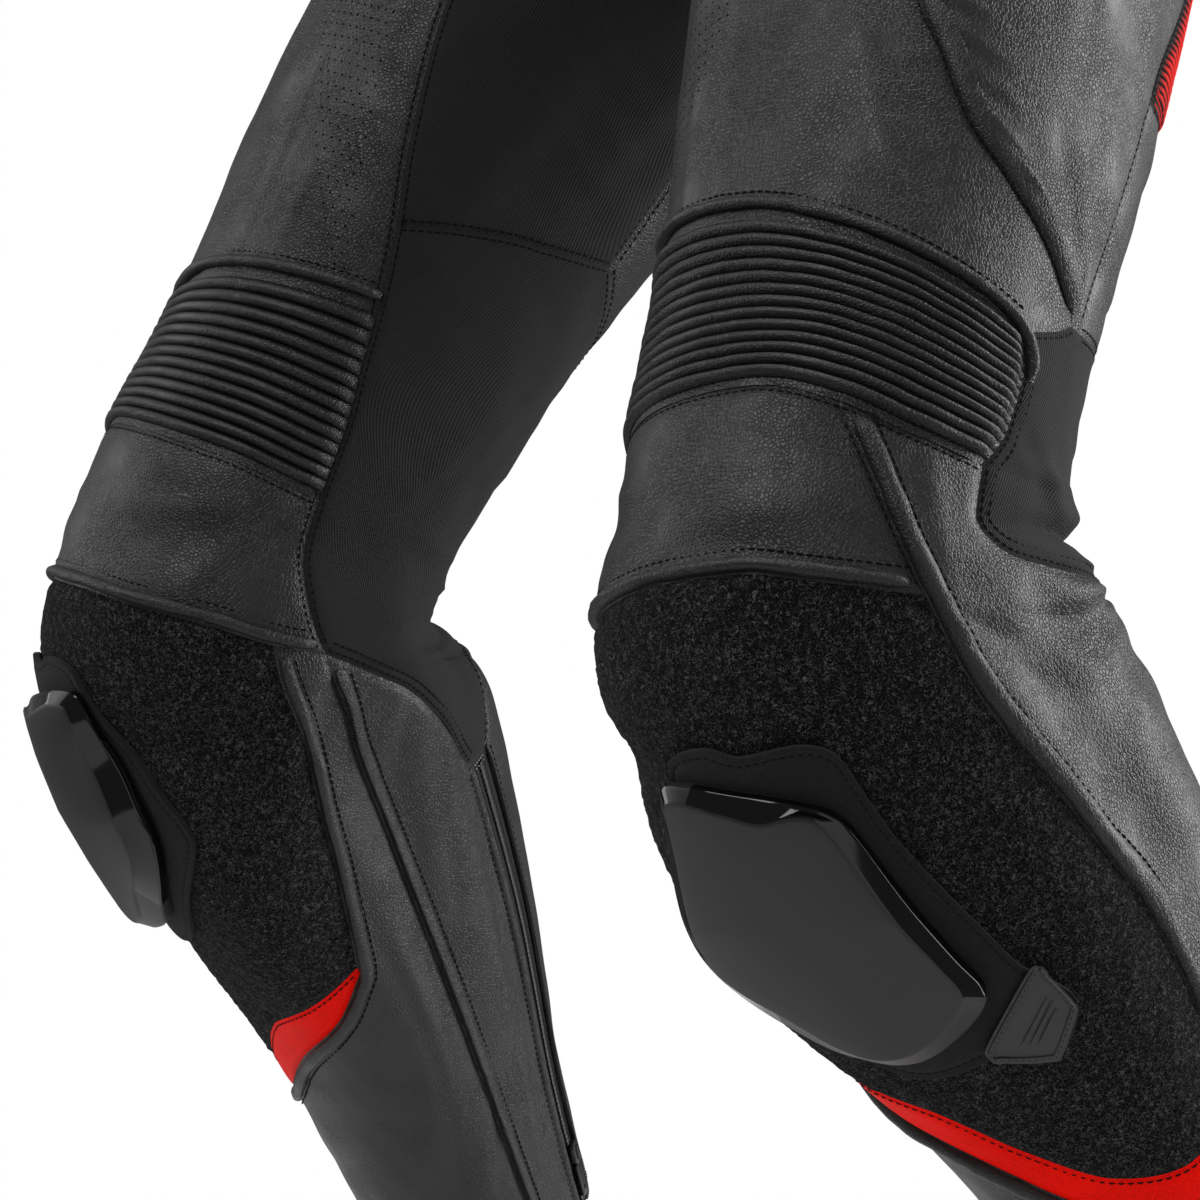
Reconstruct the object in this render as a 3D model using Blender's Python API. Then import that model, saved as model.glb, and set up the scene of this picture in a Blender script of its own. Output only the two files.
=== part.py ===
"""Leather motorcycle trousers, filled out as if worn, with the knees bent.

The origin is the middle of the waist opening, +Z is up, the wearer faces -Y and their left side is +X.
Tables are in millimetres and degrees. Each leg is a skin through rings, from the waist (ring 0) over the
crotch (4) and the knee (9) to the hem (14). A place on it is a ring number and an angle round the leg:
0 in front, 90 on the outer side, 180 behind and 270 (or -90) on the inner side. Every panel is a patch
of that skin between seams. The left leg is modelled and the right one is its mirror image.
"""
import math

import bpy
import numpy as np

MM = 0.001
LEATHER = 2.0        # wall of the leather panels
STRETCH = 1.6        # wall of the knitted stretch panels
SEAM_GAP = 0.6       # clear space between two panels at a seam
LAYER_GAP = 1.0      # clear space under piping and welts
SQUARENESS = 2.2     # exponent of the rings: 2 is an ellipse
WAISTBAND_EDGE = 0.5  # ring number of the waistband's lower seam
CROTCH_FRONT, CROTCH_BACK = 3.2, 3.3  # ring numbers where the gusset starts, in front and behind
HEM = 14.0           # ring number of the hem
ROW_LENGTH = 75.0    # usual distance between two rings, for spacing points
ARC_LENGTH = 1.45    # usual length of one degree round the leg, for spacing points

RIB_COUNT = 13       # cords of the accordion above the knee
RIB_HEIGHT = 3.0
RIB_START = 4.0      # plain strip above and below the ribs
SEAT_RIB_COUNT = 9   # cords of the ribbed stretch piece behind the thigh
SEAT_RIB_HEIGHT = 2.0

RING_COLUMNS = ("out", "back", "up", "lean", "roll", "turn", "outer", "inner", "front", "behind")
RINGS = {
    #          out  back    up  lean roll turn outer inner front behind
    "waist":  (60,    0,    0,   -8,   0,   0, 103, 400, 112, 118),
    "belly":  (68,    4,  -60,   -3,   0,   0, 108, 340, 116, 128),
    "seat":   (84,    7, -140,    5,   2,   2, 106, 200, 120, 142),
    "hip":    (96,    0, -208,   13,   5,   5, 104, 130, 122, 136),
    "crotch": (106, -24, -276,   20,   8,   8, 106, 104, 122, 118),
    "upper":  (124, -64, -358,   24,  11,  10, 105,  91, 119, 106),
    "mid":    (149, -110, -442,  25,  12,  11, 102,  86, 108,  87),
    "above":  (171, -150, -520,  20,  12,  11,  91,  84,  97,  77),
    "ribs":   (187, -180, -580,   8,  10,  11,  86,  87, 100,  76),
    "knee":   (198, -192, -634,  -8,   2,  11,  85,  95, 107,  83),
    "below":  (204, -178, -686, -24,  -6,  11,  96,  90,  90, 112),
    "calf":   (216, -140, -744, -34, -12,  11,  90,  83,  78, 114),
    "low":    (232,  -88, -820, -37, -13,  11,  71,  76,  60,  99),
    "shin":   (250,  -30, -900, -37, -13,  11,  60,  62,  54,  74),
    "hem":    (264,   18, -966, -37, -13,  11,  52,  51,  50,  60),
}

FOLD_COLUMNS = ("row", "angle", "heading", "length", "width", "height")
FOLDS = {
    # heading 0 runs round the leg, 90 runs down it; height < 0 is a trough
    "roll over the knee hollow": (8.4, 150, 0, 60, 17, 6),
    "trough in the knee hollow": (8.95, 165, 0, 65, 15, -4),
    "roll under the knee hollow": (9.5, 200, 8, 45, 15, 3),
    "top corner of the calf": (8.98, 119, 14, 42, 20, 17),
    "fullness behind the calf, outside": (9.6, 127, 90, 80, 32, 11),
    "flat behind the calf, inside": (9.75, 212, 90, 50, 36, -14),
    "flat outside the shin": (10.1, 34, 90, 135, 45, -8),
    "fullness inside the shin": (10.8, -38, 90, 62, 36, 14),
    "dent above the slider": (9.55, -40, 0, 40, 17, -6),
    "fold under the seat": (4.5, 205, -6, 60, 20, -6),
    "groin fold": (4.6, 300, 35, 55, 22, -4),
    "deep seam of the calf": (10.9, 270, 90, 110, 15, -5),
    "ridge behind the deep seam": (10.9, 252, 86, 90, 13, 3),
    "ridge down the outer shin": (10.4, 112, 84, 90, 16, 4),
    "trough down the outer shin": (10.8, 132, 84, 80, 15, -4),
    "dent of the knee armour": (8.3, -25, 14, 70, 14, -2.5),
}

# Seams that run down the leg: (ring, angle) in order from the top.
INNER_SEAM = ((3.2, -46), (3.8, -36), (4.4, -32), (5.23, -38), (5.93, -49), (6.28, -56), (6.6, -61), (6.95, -65),
              (7.35, -70), (7.8, -73), (8.18, -75), (8.5, -79), (9.08, -86))
FRONT_WELT = ((0.5, 36), (2, 32), (3, 30), (4, 30), (5.3, 32.5), (5.83, 36), (6.03, 42), (6.33, 52), (6.53, 65),
              (6.75, 81), (7.02, 94.5))
REAR_SEAM = ((0.5, 110), (2, 119), (3, 125), (4, 127), (4.95, 118), (5.48, 108), (6.08, 104), (6.75, 100.5),
             (7.02, 99.5))
BACK_BINDING = ((3.3, 227), (3.8, 236), (4.4, 243), (5.0, 247), (5.9, 243))
RIBS_OUTER_END = ((7.23, 79), (7.5, 82), (7.85, 80), (8.08, 74))
SHIN_WELT = ((7.8, 33), (8.2, 45), (8.75, 60), (9.05, 66), (9.45, 71), (10.2, 82), (10.93, 90), (11.7, 92), (14, 95))
LOOP_EDGE = ((8.94, -73), (9.78, -76), (10.7, -69), (11.2, -62), (11.47, -57))
CALF_SEAM = ((9.08, -86), (9.8, -90), (14, -90))
CALF_BACK_SEAM = ((9.35, 150), (11, 153), (14, 150))
ZIP_OUTER_EDGE = ((10.95, 231), (12.3, 227), (14, 225))
ZIP_INNER_EDGE = ((10.95, 241.5), (12.3, 239), (14, 240))

# Seams that run round the leg: (angle, ring) in order from the inner side.
RIBS_TOP = ((-61.6, 6.65), (-34, 6.7), (0, 6.78), (17, 6.87), (44, 7.02), (79, 7.23))
RIBS_BOTTOM = ((-73, 7.8), (-40, 7.7), (-5, 7.68), (10, 7.69), (33, 7.8), (50, 7.93), (74, 8.08))
KNEE_EDGE = ((-86, 9.08), (-73, 8.94), (-54, 8.75), (-30, 8.64), (-9, 8.58), (9, 8.57), (30, 8.63), (60, 8.75))
LOOP_BOTTOM = ((-57, 11.47), (-31, 11.53), (-9, 11.58), (10, 11.76), (35, 11.94), (62, 11.98), (92, 11.86))
TRIM_BOTTOM = ((-57, 11.51), (-39, 11.7), (-9, 11.86), (15, 12.06), (40, 12.17), (65, 12.19), (92.2, 12.14))
STRETCH_SEAM = ((243, 5.9), (270, 6.03), (283, 6.12), (304, 6.28))
THIGH_BACK_EDGE = ((99.5, 7.02), (130, 6.9), (180, 6.6), (220, 6.15), (243, 5.9))
SEAT_EDGE = ((125, 4.35), (180, 4.35), (242.5, 4.35))
SEAT_RIBS_EDGE = ((106.4, 5.65), (150, 5.45), (200, 5.05), (246.4, 4.85))

# Edges given place by place, each (ring, angle).
THIGH_TAIL = ((7.23, 79), (7.13, 88), (7.02, 94.5))
OUTER_TIP = ((7.02, 94.5), (7.02, 99.5))
TRIM_END = ((11.47, -57), (11.51, -57))
SHIN_CORNER = ((8.75, 60), (8.55, 82))
KNEE_HOLLOW = ((8.08, 74), (8.33, 73.5), (8.55, 82), (8.68, 97), (8.76, 112), (9.0, 132), (9.35, 150),
               (9.9, 185), (10.6, 218), (10.95, 231), (10.95, 241.5), (10.3, 248), (9.78, 254), (9.4, 263),
               (9.08, 274))

# The stretches of seam between two junctions: (seam, from, to, steps). The panels on both sides share them.
# A seam that runs down is cut by ring, one that runs round is cut by angle, an edge by the number of its place.
DOWN_RUNS = {
    "inner beside gusset": (INNER_SEAM, 3.2, 6.28, 8),
    "inner beside stretch": (INNER_SEAM, 6.28, 6.65, 1),
    "inner beside ribs": (INNER_SEAM, 6.65, 7.8, 7),
    "inner beside knee": (INNER_SEAM, 7.8, 9.08, 4),
    "front welt": (FRONT_WELT, 0.5, 7.02, 16),
    "rear beside seat": (REAR_SEAM, 0.5, 4.35, 8),
    "rear beside ribs": (REAR_SEAM, 4.35, 5.65, 5),
    "rear beside back": (REAR_SEAM, 5.65, 7.02, 3),
    "binding beside seat": (BACK_BINDING, 3.3, 4.35, 3),
    "binding beside ribs": (BACK_BINDING, 4.35, 4.85, 2),
    "binding beside back": (BACK_BINDING, 4.85, 5.9, 3),
    "ribs outer end": (RIBS_OUTER_END, 7.23, 8.08, 8),
    "shin welt beside knee": (SHIN_WELT, 7.8, 8.75, 4),
    "shin welt beside loop": (SHIN_WELT, 8.75, 11.86, 8),
    "shin welt beside trim": (SHIN_WELT, 11.86, 12.14, 1),
    "shin welt to hem": (SHIN_WELT, 12.14, 14, 4),
    "loop edge": (LOOP_EDGE, 8.94, 11.47, 8),
    "calf seam, top": (CALF_SEAM, 9.08, 9.8, 3),
    "calf seam, side": (CALF_SEAM, 9.8, 14, 10),
    "calf seam, upper": (CALF_SEAM, 9.8, 11.6, 5),
    "calf seam, middle": (CALF_SEAM, 11.6, 12.8, 9),
    "calf seam, lower": (CALF_SEAM, 12.8, 14, 4),
    "calf back seam": (CALF_BACK_SEAM, 9.35, 14, 13),
    "zip outer edge": (ZIP_OUTER_EDGE, 10.95, 14, 13),
    "zip inner edge": (ZIP_INNER_EDGE, 10.95, 14, 13),
}
ROUND_RUNS = {
    "ribs top": (RIBS_TOP, -61.6, 79, 9),
    "ribs bottom": (RIBS_BOTTOM, -73, 74, 9),
    "knee top": (RIBS_BOTTOM, -73, 33, 9),
    "outer shin top": (RIBS_BOTTOM, 33, 74, 4),
    "knee edge beside calf": (KNEE_EDGE, -86, -73, 1),
    "calf inner top": (KNEE_EDGE, -86, -73, 8),
    "knee edge": (KNEE_EDGE, -73, 60, 8),
    "loop bottom": (LOOP_BOTTOM, -57, 92, 8),
    "trim bottom": (TRIM_BOTTOM, -57, 92.2, 8),
    "stretch seam": (STRETCH_SEAM, 243, 304, 5),
    "thigh back edge": (THIGH_BACK_EDGE, 99.5, 243, 7),
    "seat edge": (SEAT_EDGE, 125, 242.5, 7),
    "seat ribs edge": (SEAT_RIBS_EDGE, 106.4, 246.4, 7),
}
EDGE_RUNS = {
    "thigh tail": (THIGH_TAIL, 0, 2, 1),
    "outer tip": (OUTER_TIP, 0, 1, 5),
    "outer tip, plain": (OUTER_TIP, 0, 1, 1),
    "trim end": (TRIM_END, 0, 1, 1),
    "shin corner": (SHIN_CORNER, 0, 1, 4),
    "hollow beside ribs": (KNEE_HOLLOW, 0, 2, 4),
    "hollow beside shin": (KNEE_HOLLOW, 2, 6, 5),
    "hollow beside calf back": (KNEE_HOLLOW, 6, 9, 4),
    "hollow beside zip": (KNEE_HOLLOW, 9, 10, 1),
    "hollow beside calf": (KNEE_HOLLOW, 10, 14, 4),
}

# Knee slider, laid out on the front of the shin: middle, and outlines as (along the shin, outward).
SLIDERS = {"left": (10.22, 5.0), "right": (9.84, 5.0)}
FLAP_OUTLINE = ((-70, -31), (-74, -14), (-70, -2), (-72, 19), (-71, 33), (-64, 43), (-40, 50), (-26, 54), (17, 72),
                (38, 80), (47, 89), (62, 95), (82, 69), (79, 40), (89, -8), (62, -45), (34, -74), (19, -78),
                (-5, -67), (-57, -41))
PUCK_OUTLINE = ((-60, -36), (-60, -20), (-57, -5), (-54, 8), (-50, 21), (-45, 31), (-35, 38), (-3, 47), (26, 55),
                (40, 59), (49, 54), (62, 33), (72, 10), (72, -9), (61, -30), (19, -59), (-37, -48), (-55, -43))
PUCK_FACE = ((-55, -33), (-55, -22), (-51, -9), (-47, 3), (-48, 15), (-46, 25), (-36, 31), (-4, 40), (22, 48),
             (35, 51), (43, 47), (56, 28), (64, 8), (62, -8), (45, -24), (17, -46), (-34, -39), (-51, -37))
LABEL_OUTLINE = ((73, 43), (76.5, 45), (79, 65), (77.5, 70), (63, 88), (59, 90), (46, 87), (44, 83))
FLAP_LIFT, FLAP_WALL = 1.7, 2.4
PUCK_LIFT, PUCK_HEIGHT, PUCK_BEVEL, PUCK_FALL = 6.0, 12.8, 6.4, 6.0
LABEL_LIFT, LABEL_WALL = 4.9, 2.0

ZIP_WALL = 1.4
ZIP_SINK = 1.2
RUNNER_ROW = 13.55
RUNNER_SIZE = (9.0, 12.0, 3.6)   # across, along, high
PULL_SIZE = (7.0, 22.0, 1.6)
PULL_AXLE = 1.8                  # distance of the hinge axis from the runner's end
PULL_HEAD = 0.9                  # length of pull on the runner's side of the axis

STRIPS = {
    # name: width, height, shift to the upper (-) or lower side, or to the front (-) or the back
    "piping_ribs": (5.0, 3.2, -3.6),
    "piping_knee": (5.4, 3.2, -3.8),
    "piping_loop": (5.4, 3.0, 3.8),
    "welt_front": (7.0, 2.0, -4.4),
    "welt_shin": (6.0, 2.4, -3.8),
}
STRIP_PROFILE = ((-0.5, 0.0), (-0.38, 0.72), (0.0, 1.0), (0.38, 0.72), (0.5, 0.0))

SNAP_RADIUS, SNAP_HEIGHT, SNAP_SIDES = 8.0, 3.0, 18
SNAP_ROW, SNAP_SETBACK = 0.26, 5.5
FLY_WIDTH, FLY_OVERLAP, FLY_END, FLY_LIFT = 34.0, 5.0, 2.7, 1.5

COLOURS = {
    # name: colour, roughness, metallic
    "leather": ((0.035, 0.035, 0.037), 0.45, 0.0),
    "stretch": ((0.012, 0.012, 0.013), 0.9, 0.0),
    "loop": ((0.006, 0.006, 0.006), 1.0, 0.0),
    "red_leather": ((0.75, 0.004, 0.0), 0.5, 0.0),
    "red_ribs": ((0.6, 0.01, 0.005), 0.7, 0.0),
    "suede": ((0.02, 0.02, 0.021), 0.85, 0.0),
    "slider": ((0.028, 0.028, 0.03), 0.4, 0.0),
    "rubber": ((0.01, 0.01, 0.01), 0.6, 0.0),
    "zip": ((0.01, 0.01, 0.01), 0.5, 0.0),
    "metal": ((0.03, 0.03, 0.03), 0.35, 1.0),
}

RING_TABLE = np.array(list(RINGS.values()), float)


def smooth(x, table):
    """A curve without overshoot through a table of (x, y)."""
    xs, ys = np.array(table, float).T
    step = np.diff(xs)
    slope = np.diff(ys) / step
    bend = np.zeros(len(xs))
    bend[0], bend[-1] = slope[0], slope[-1]
    same = slope[1:] * slope[:-1] > 0
    bend[1:-1][same] = 2 * slope[1:][same] * slope[:-1][same] / (slope[1:] + slope[:-1])[same]
    x = np.clip(np.asarray(x, float), xs[0], xs[-1])
    i = np.clip(np.searchsorted(xs, x, side="right") - 1, 0, len(xs) - 2)
    h = step[i]
    u = (x - xs[i]) / h
    return (ys[i] * (1 + 2 * u) * (1 - u) ** 2 + ys[i + 1] * u * u * (3 - 2 * u)
            + h * (bend[i] * u * (1 - u) ** 2 + bend[i + 1] * u * u * (u - 1)))


def ring_values(row):
    """The ring table's columns at any ring number, on a smooth curve through the rings."""
    last = len(RING_TABLE) - 1
    row = np.clip(np.asarray(row, float), 0, last)
    i = np.minimum(row.astype(int), last - 1)
    u = (row - i)[..., None]
    b, c = RING_TABLE[i], RING_TABLE[i + 1]
    a = np.where((i > 0)[..., None], RING_TABLE[np.maximum(i - 1, 0)], 2 * b - c)
    d = np.where((i < last - 1)[..., None], RING_TABLE[np.minimum(i + 2, last)], 2 * c - b)
    return 0.5 * (2 * b + (c - a) * u + (2 * a - 5 * b + 4 * c - d) * u ** 2 + (3 * b - a - 3 * c + d) * u ** 3)


def skin(row, angle):
    """Points of the bare skin, without its folds."""
    row, angle = np.broadcast_arrays(np.asarray(row, float), np.asarray(angle, float))
    v = dict(zip(RING_COLUMNS, np.moveaxis(ring_values(row), -1, 0)))
    lean, roll, turn = (np.radians(v[k]) for k in ("lean", "roll", "turn"))
    axis = np.stack([-np.sin(roll), np.sin(lean) * np.cos(roll), np.cos(lean) * np.cos(roll)], -1)
    front = np.stack([np.sin(turn), -np.cos(turn), 0 * turn], -1)
    front = front - (front * axis).sum(-1, keepdims=True) * axis
    front /= np.linalg.norm(front, axis=-1, keepdims=True)
    outward = np.cross(axis, front)
    s, c = np.sin(np.radians(angle)), np.cos(np.radians(angle))
    across = np.where(s > 0, v["outer"], v["inner"]) * np.sign(s) * np.abs(s) ** (2 / SQUARENESS)
    ahead = np.where(c > 0, v["front"], v["behind"]) * np.sign(c) * np.abs(c) ** (2 / SQUARENESS)
    middle = np.stack([v["out"], v["back"], v["up"]], -1)
    return middle + across[..., None] * outward + ahead[..., None] * front


def unit(v):
    return v / np.maximum(np.linalg.norm(v, axis=-1, keepdims=True), 1e-9)


def facing(row, angle):
    """Outward normals of the skin."""
    down = skin(row + 0.02, angle) - skin(row - 0.02, angle)
    round_it = skin(row, angle + 0.6) - skin(row, angle - 0.6)
    return unit(np.cross(down, round_it))


def fold_height(row, angle):
    total = np.zeros(np.broadcast(row, angle).shape)
    for fold in FOLDS.values():
        f = dict(zip(FOLD_COLUMNS, fold))
        away = (np.asarray(angle, float) - f["angle"] + 180) % 360 - 180
        x, y = away * ARC_LENGTH, (np.asarray(row, float) - f["row"]) * ROW_LENGTH
        c, s = math.cos(math.radians(f["heading"])), math.sin(math.radians(f["heading"]))
        along, across = x * c + y * s, y * c - x * s
        total = total + f["height"] * np.exp(-(along / f["length"]) ** 2 - (across / f["width"]) ** 2)
    return total


def cloth(place, lift=0.0):
    """Points on the cloth's outside at places (..., ring and angle), moved out by lift."""
    row, angle = place[..., 0], place[..., 1]
    height = fold_height(row, angle) + lift
    return skin(row, angle) + facing(row, angle) * np.asarray(height)[..., None]


def centre_angle(row, behind):
    """The angle at which the ring reaches the middle plane, in front or behind."""
    row = np.asarray(row, float)
    low = np.full(row.shape, 270.0 if behind else -90.0)
    high = np.full(row.shape, 180.0 if behind else 0.0)
    for _ in range(40):
        mid = (low + high) / 2
        inside = skin(row, mid)[..., 0] < SEAM_GAP / 2
        low, high = np.where(inside, mid, low), np.where(inside, high, mid)
    return high


def centre_row(angle):
    """The ring number at which the line at this angle reaches the middle plane, under the crotch."""
    angle = np.asarray(angle, float)
    low, high = np.full(angle.shape, 2.6), np.full(angle.shape, 5.0)
    for _ in range(40):
        mid = (low + high) / 2
        inside = skin(mid, angle)[..., 0] < SEAM_GAP / 2
        low, high = np.where(inside, mid, low), np.where(inside, high, mid)
    return high


def travelled(places):
    """Rough distances between places, for spacing."""
    step = np.diff(places, axis=0) * (ROW_LENGTH, ARC_LENGTH)
    return np.maximum(np.linalg.norm(step, axis=1), 1e-6)


def edge_line(points, start, end, n):
    """Places on a smooth line through listed ones, between two of them."""
    p = np.array(points, float)
    at = np.concatenate([[0], np.cumsum(travelled(p))])
    x = np.linspace(at[start], at[end], n + 1)
    return np.stack([smooth(x, np.stack([at, p[:, k]], -1)) for k in (0, 1)], -1)


def run(name, finer=1):
    """The places of a run of seam, cut into its steps, or into more of them."""
    if name in DOWN_RUNS:
        seam, start, end, n = DOWN_RUNS[name]
        row = np.linspace(start, end, n * finer + 1)
        return np.stack([row, smooth(row, seam)], -1)
    if name in ROUND_RUNS:
        seam, start, end, n = ROUND_RUNS[name]
        angle = np.linspace(start, end, n * finer + 1)
        return np.stack([smooth(angle, seam), angle], -1)
    seam, start, end, n = EDGE_RUNS[name]
    return edge_line(seam, start, end, n * finer)


def chain(*pieces, turn=0, finer=1):
    """One side of a panel: runs, by name or as places, joined end to end; turn adds whole turns."""
    parts = [run(p, finer) if isinstance(p, str) else p for p in pieces]
    return np.concatenate(parts[:1] + [part[1:] for part in parts[1:]]) + (0, 360 * turn)


def centre(start, end, behind, n):
    """Places down the middle seam, in front or behind."""
    row = np.linspace(start, end, n + 1)
    return np.stack([row, centre_angle(row, behind)], -1)


def level(row, start, end, n):
    """Places round a ring."""
    return np.stack([np.full(n + 1, float(row)), np.linspace(start, end, n + 1)], -1)


def patch(top, bottom, left, right):
    """A grid of places between four sides that share their corners."""
    u = np.linspace(0, 1, len(top))[None, :, None]
    v = np.linspace(0, 1, len(left))[:, None, None]
    edges = (1 - v) * top[None] + v * bottom[None] + (1 - u) * left[:, None] + u * right[:, None]
    corners = ((1 - u) * (1 - v) * top[0] + u * (1 - v) * top[-1] + (1 - u) * v * bottom[0] + u * v * bottom[-1])
    return edges - corners


def cells_of(number):
    """The four-sided cells of a grid of point numbers, seen from outside."""
    rows, columns = number.shape
    return [tuple(int(number[at]) for at in ((r, c), (r + 1, c), (r + 1, c + 1), (r, c + 1)))
            for r in range(rows - 1) for c in range(columns - 1)]


def joined(*patches):
    """The places and cells of patches that may share edges."""
    known, places, cells = {}, [], []
    for grid in patches:
        number = np.zeros(grid.shape[:2], int)
        for at in np.ndindex(*number.shape):
            key = tuple(np.round(grid[at], 6))
            if key not in known:
                known[key] = len(places)
                places.append(grid[at])
            number[at] = known[key]
        cells += cells_of(number)
    return np.array(places), cells


def rim_of(cells):
    """The edges that only one cell has."""
    edges = {(cell[k - 1], cell[k]): None for cell in cells for k in range(4)}
    return [(a, b) for a, b in edges if (b, a) not in edges]


def drawn_in(points, normals, cells):
    """The points with the rim moved inward by half a seam's gap."""
    rim = rim_of(cells)
    before, after = {b: a for a, b in rim}, dict(rim)
    moved = points.copy()
    for i in after:
        first = unit(np.cross(normals[i], points[i] - points[before[i]]))
        second = unit(np.cross(normals[i], points[after[i]] - points[i]))
        moved[i] += (first + second) * SEAM_GAP / 2 / max(1 + first @ second, 0.35)
    return moved


def halved(points, cells):
    """The cells as triangles, each cut along its shorter diagonal."""
    faces = []
    for a, b, c, d in cells:
        if np.linalg.norm(points[a] - points[c]) < np.linalg.norm(points[b] - points[d]):
            faces += [(a, b, c), (a, c, d)]
        else:
            faces += [(a, b, d), (b, c, d)]
    return faces


def walled(outside, inside, cells):
    """Points and faces of a wall between two sets of points with the same cells."""
    n = len(outside)
    skin_faces = halved(outside, cells)
    faces = skin_faces + [tuple(n + i for i in reversed(face)) for face in skin_faces]
    for a, b in rim_of(cells):
        faces += [(b, a, n + a), (b, n + a, n + b)]
    return np.concatenate([outside, inside]), faces


def volume(points, faces):
    total = 0.0
    for f in faces:
        for k in range(1, len(f) - 1):
            total += np.dot(points[f[0]], np.cross(points[f[k]], points[f[k + 1]]))
    return total / 6


def material(name):
    made = bpy.data.materials.get(name)
    if made is None:
        colour, roughness, metallic = COLOURS[name]
        made = bpy.data.materials.new(name)
        made.use_nodes = True
        shader = made.node_tree.nodes["Principled BSDF"]
        shader.inputs["Base Color"].default_value = (*colour, 1.0)
        shader.inputs["Roughness"].default_value = roughness
        shader.inputs["Metallic"].default_value = metallic
    return made


def add(name, points, faces, finish, origin=(0, 0, 0)):
    """One closed piece from points in millimetres, with its faces outward and its own origin."""
    if volume(points, faces) < 0:
        faces = [f[::-1] for f in faces]
    mesh = bpy.data.meshes.new(name)
    mesh.from_pydata([tuple(p) for p in (points - origin) * MM], [], faces)
    mesh.materials.append(material(finish))
    made = bpy.data.objects.new(name, mesh)
    made.location = tuple(float(x) * MM for x in origin)
    bpy.context.collection.objects.link(made)


def pair(name, points, faces, finish, origin=(0, 0, 0)):
    """The piece on the left leg and its mirror image on the right one."""
    for leg, flip in (("left", (1, 1, 1)), ("right", (-1, 1, 1))):
        add(name + "_" + leg, points * flip, faces, finish, np.array(origin) * flip)


def panel(name, patches, finish, wall=LEATHER, lift=0.0):
    """A wall on the skin between seams."""
    places, cells = joined(*patches)
    normals = facing(places[:, 0], places[:, 1])
    outside, inside = (drawn_in(cloth(places, x), normals, cells) for x in (lift, lift - wall))
    pair(name, *walled(outside, inside, cells), finish)


def ribbed(name, sides, finish, count, height, length, per_rib):
    """A panel with raised cords across it and a plain inside, which has a row of points under each furrow."""
    margin = RIB_START / length
    steps = np.arange(count * per_rib + 1)
    share = np.concatenate([[0.0], margin + (1 - 2 * margin) * steps / steps[-1], [1.0]])
    raised = np.concatenate([[0.0], (steps % per_rib != 0) * 1.0, [0.0]])
    furrows = np.flatnonzero(raised == 0)
    fine = patch(*sides)
    down_it = np.linspace(0, 1, fine.shape[0])
    places = np.stack([np.stack([np.interp(share, down_it, fine[:, c, k]) for k in (0, 1)], -1)
                       for c in range(fine.shape[1])], 1)
    numbers, points, faces, start = [], [], [], 0
    for rows, lift in ((np.arange(len(share)), height * raised[:, None]), (furrows, -LEATHER)):
        grid = places[rows]
        number = np.arange(grid[..., 0].size).reshape(grid.shape[:2])
        flat = grid.reshape(-1, 2)
        points.append(drawn_in(cloth(grid, lift).reshape(-1, 3), facing(flat[:, 0], flat[:, 1]), cells_of(number)))
        numbers.append(number + start)
        start += number.size
    out, inn = numbers
    faces = cells_of(out) + [cell[::-1] for cell in cells_of(inn)]
    for c in range(out.shape[1] - 1):
        faces += [(out[0, c], out[0, c + 1], inn[0, c + 1], inn[0, c]),
                  (out[-1, c + 1], out[-1, c], inn[-1, c], inn[-1, c + 1])]
    for k, (i, j) in enumerate(zip(furrows, furrows[1:])):
        faces += [(*out[i:j + 1, 0][::-1], inn[k, 0], inn[k + 1, 0]), (*out[i:j + 1, -1], inn[k + 1, -1], inn[k, -1])]
    pair(name, np.concatenate(points), [tuple(int(i) for i in face) for face in faces], finish)


def sideways(places):
    """For places along a seam, the change of place that moves one millimetre to its side on the cloth."""
    row, angle = places[:, 0], places[:, 1]
    by_row = (skin(row + 0.02, angle) - skin(row - 0.02, angle)) / 0.04
    by_angle = (skin(row, angle + 0.6) - skin(row, angle - 0.6)) / 1.2
    beside = unit(np.cross(unit(np.gradient(skin(row, angle), axis=0)), facing(row, angle)))
    rr, ra, aa = ((a * b).sum(-1) for a, b in ((by_row, by_row), (by_row, by_angle), (by_angle, by_angle)))
    br, ba = (beside * by_row).sum(-1), (beside * by_angle).sum(-1)
    return np.stack([br * aa - ba * ra, ba * rr - br * ra], -1) / (rr * aa - ra * ra)[:, None]


def strip(name, places, finish):
    """Piping or a welt laid beside a seam."""
    width, height, shift = STRIPS[name]
    step = sideways(places)
    rings = np.stack([cloth(places + step * (shift + x * width), LAYER_GAP + y * height)
                      for x, y in STRIP_PROFILE], 1)
    n, k = rings.shape[:2]
    number = np.arange(n * k).reshape(n, k)
    faces = [(number[i, j], number[i + 1, j], number[i + 1, (j + 1) % k], number[i, (j + 1) % k])
             for i in range(n - 1) for j in range(k)]
    faces += [tuple(number[0]), tuple(number[-1][::-1])]
    pair(name, rings.reshape(-1, 3), [tuple(int(i) for i in f) for f in faces], finish)


def slider_places(outline, at):
    """Skin places of an outline given in millimetres along and across the shin, round the slider's middle."""
    along, outward = np.array(outline, float).T
    per_row = np.linalg.norm(skin(at[0] + 0.5, at[1]) - skin(at[0] - 0.5, at[1]))
    row = at[0] + along / per_row
    per_degree = np.linalg.norm(skin(row, at[1] + 5) - skin(row, at[1] - 5), axis=-1) / 10
    return np.stack([row, at[1] + outward / per_degree], -1)


def rounded(outline, n):
    """A closed smooth line of n points through an outline's points."""
    p = np.array(outline, float)
    k = len(p)
    x = np.arange(n) * k / n
    i = x.astype(int)
    u = (x - i)[:, None]
    a, b, c, d = (p[(i + s) % k] for s in (-1, 0, 1, 2))
    return 0.5 * (2 * b + (c - a) * u + (2 * a - 5 * b + 4 * c - d) * u ** 2 + (3 * b - a - 3 * c + d) * u ** 3)


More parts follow.
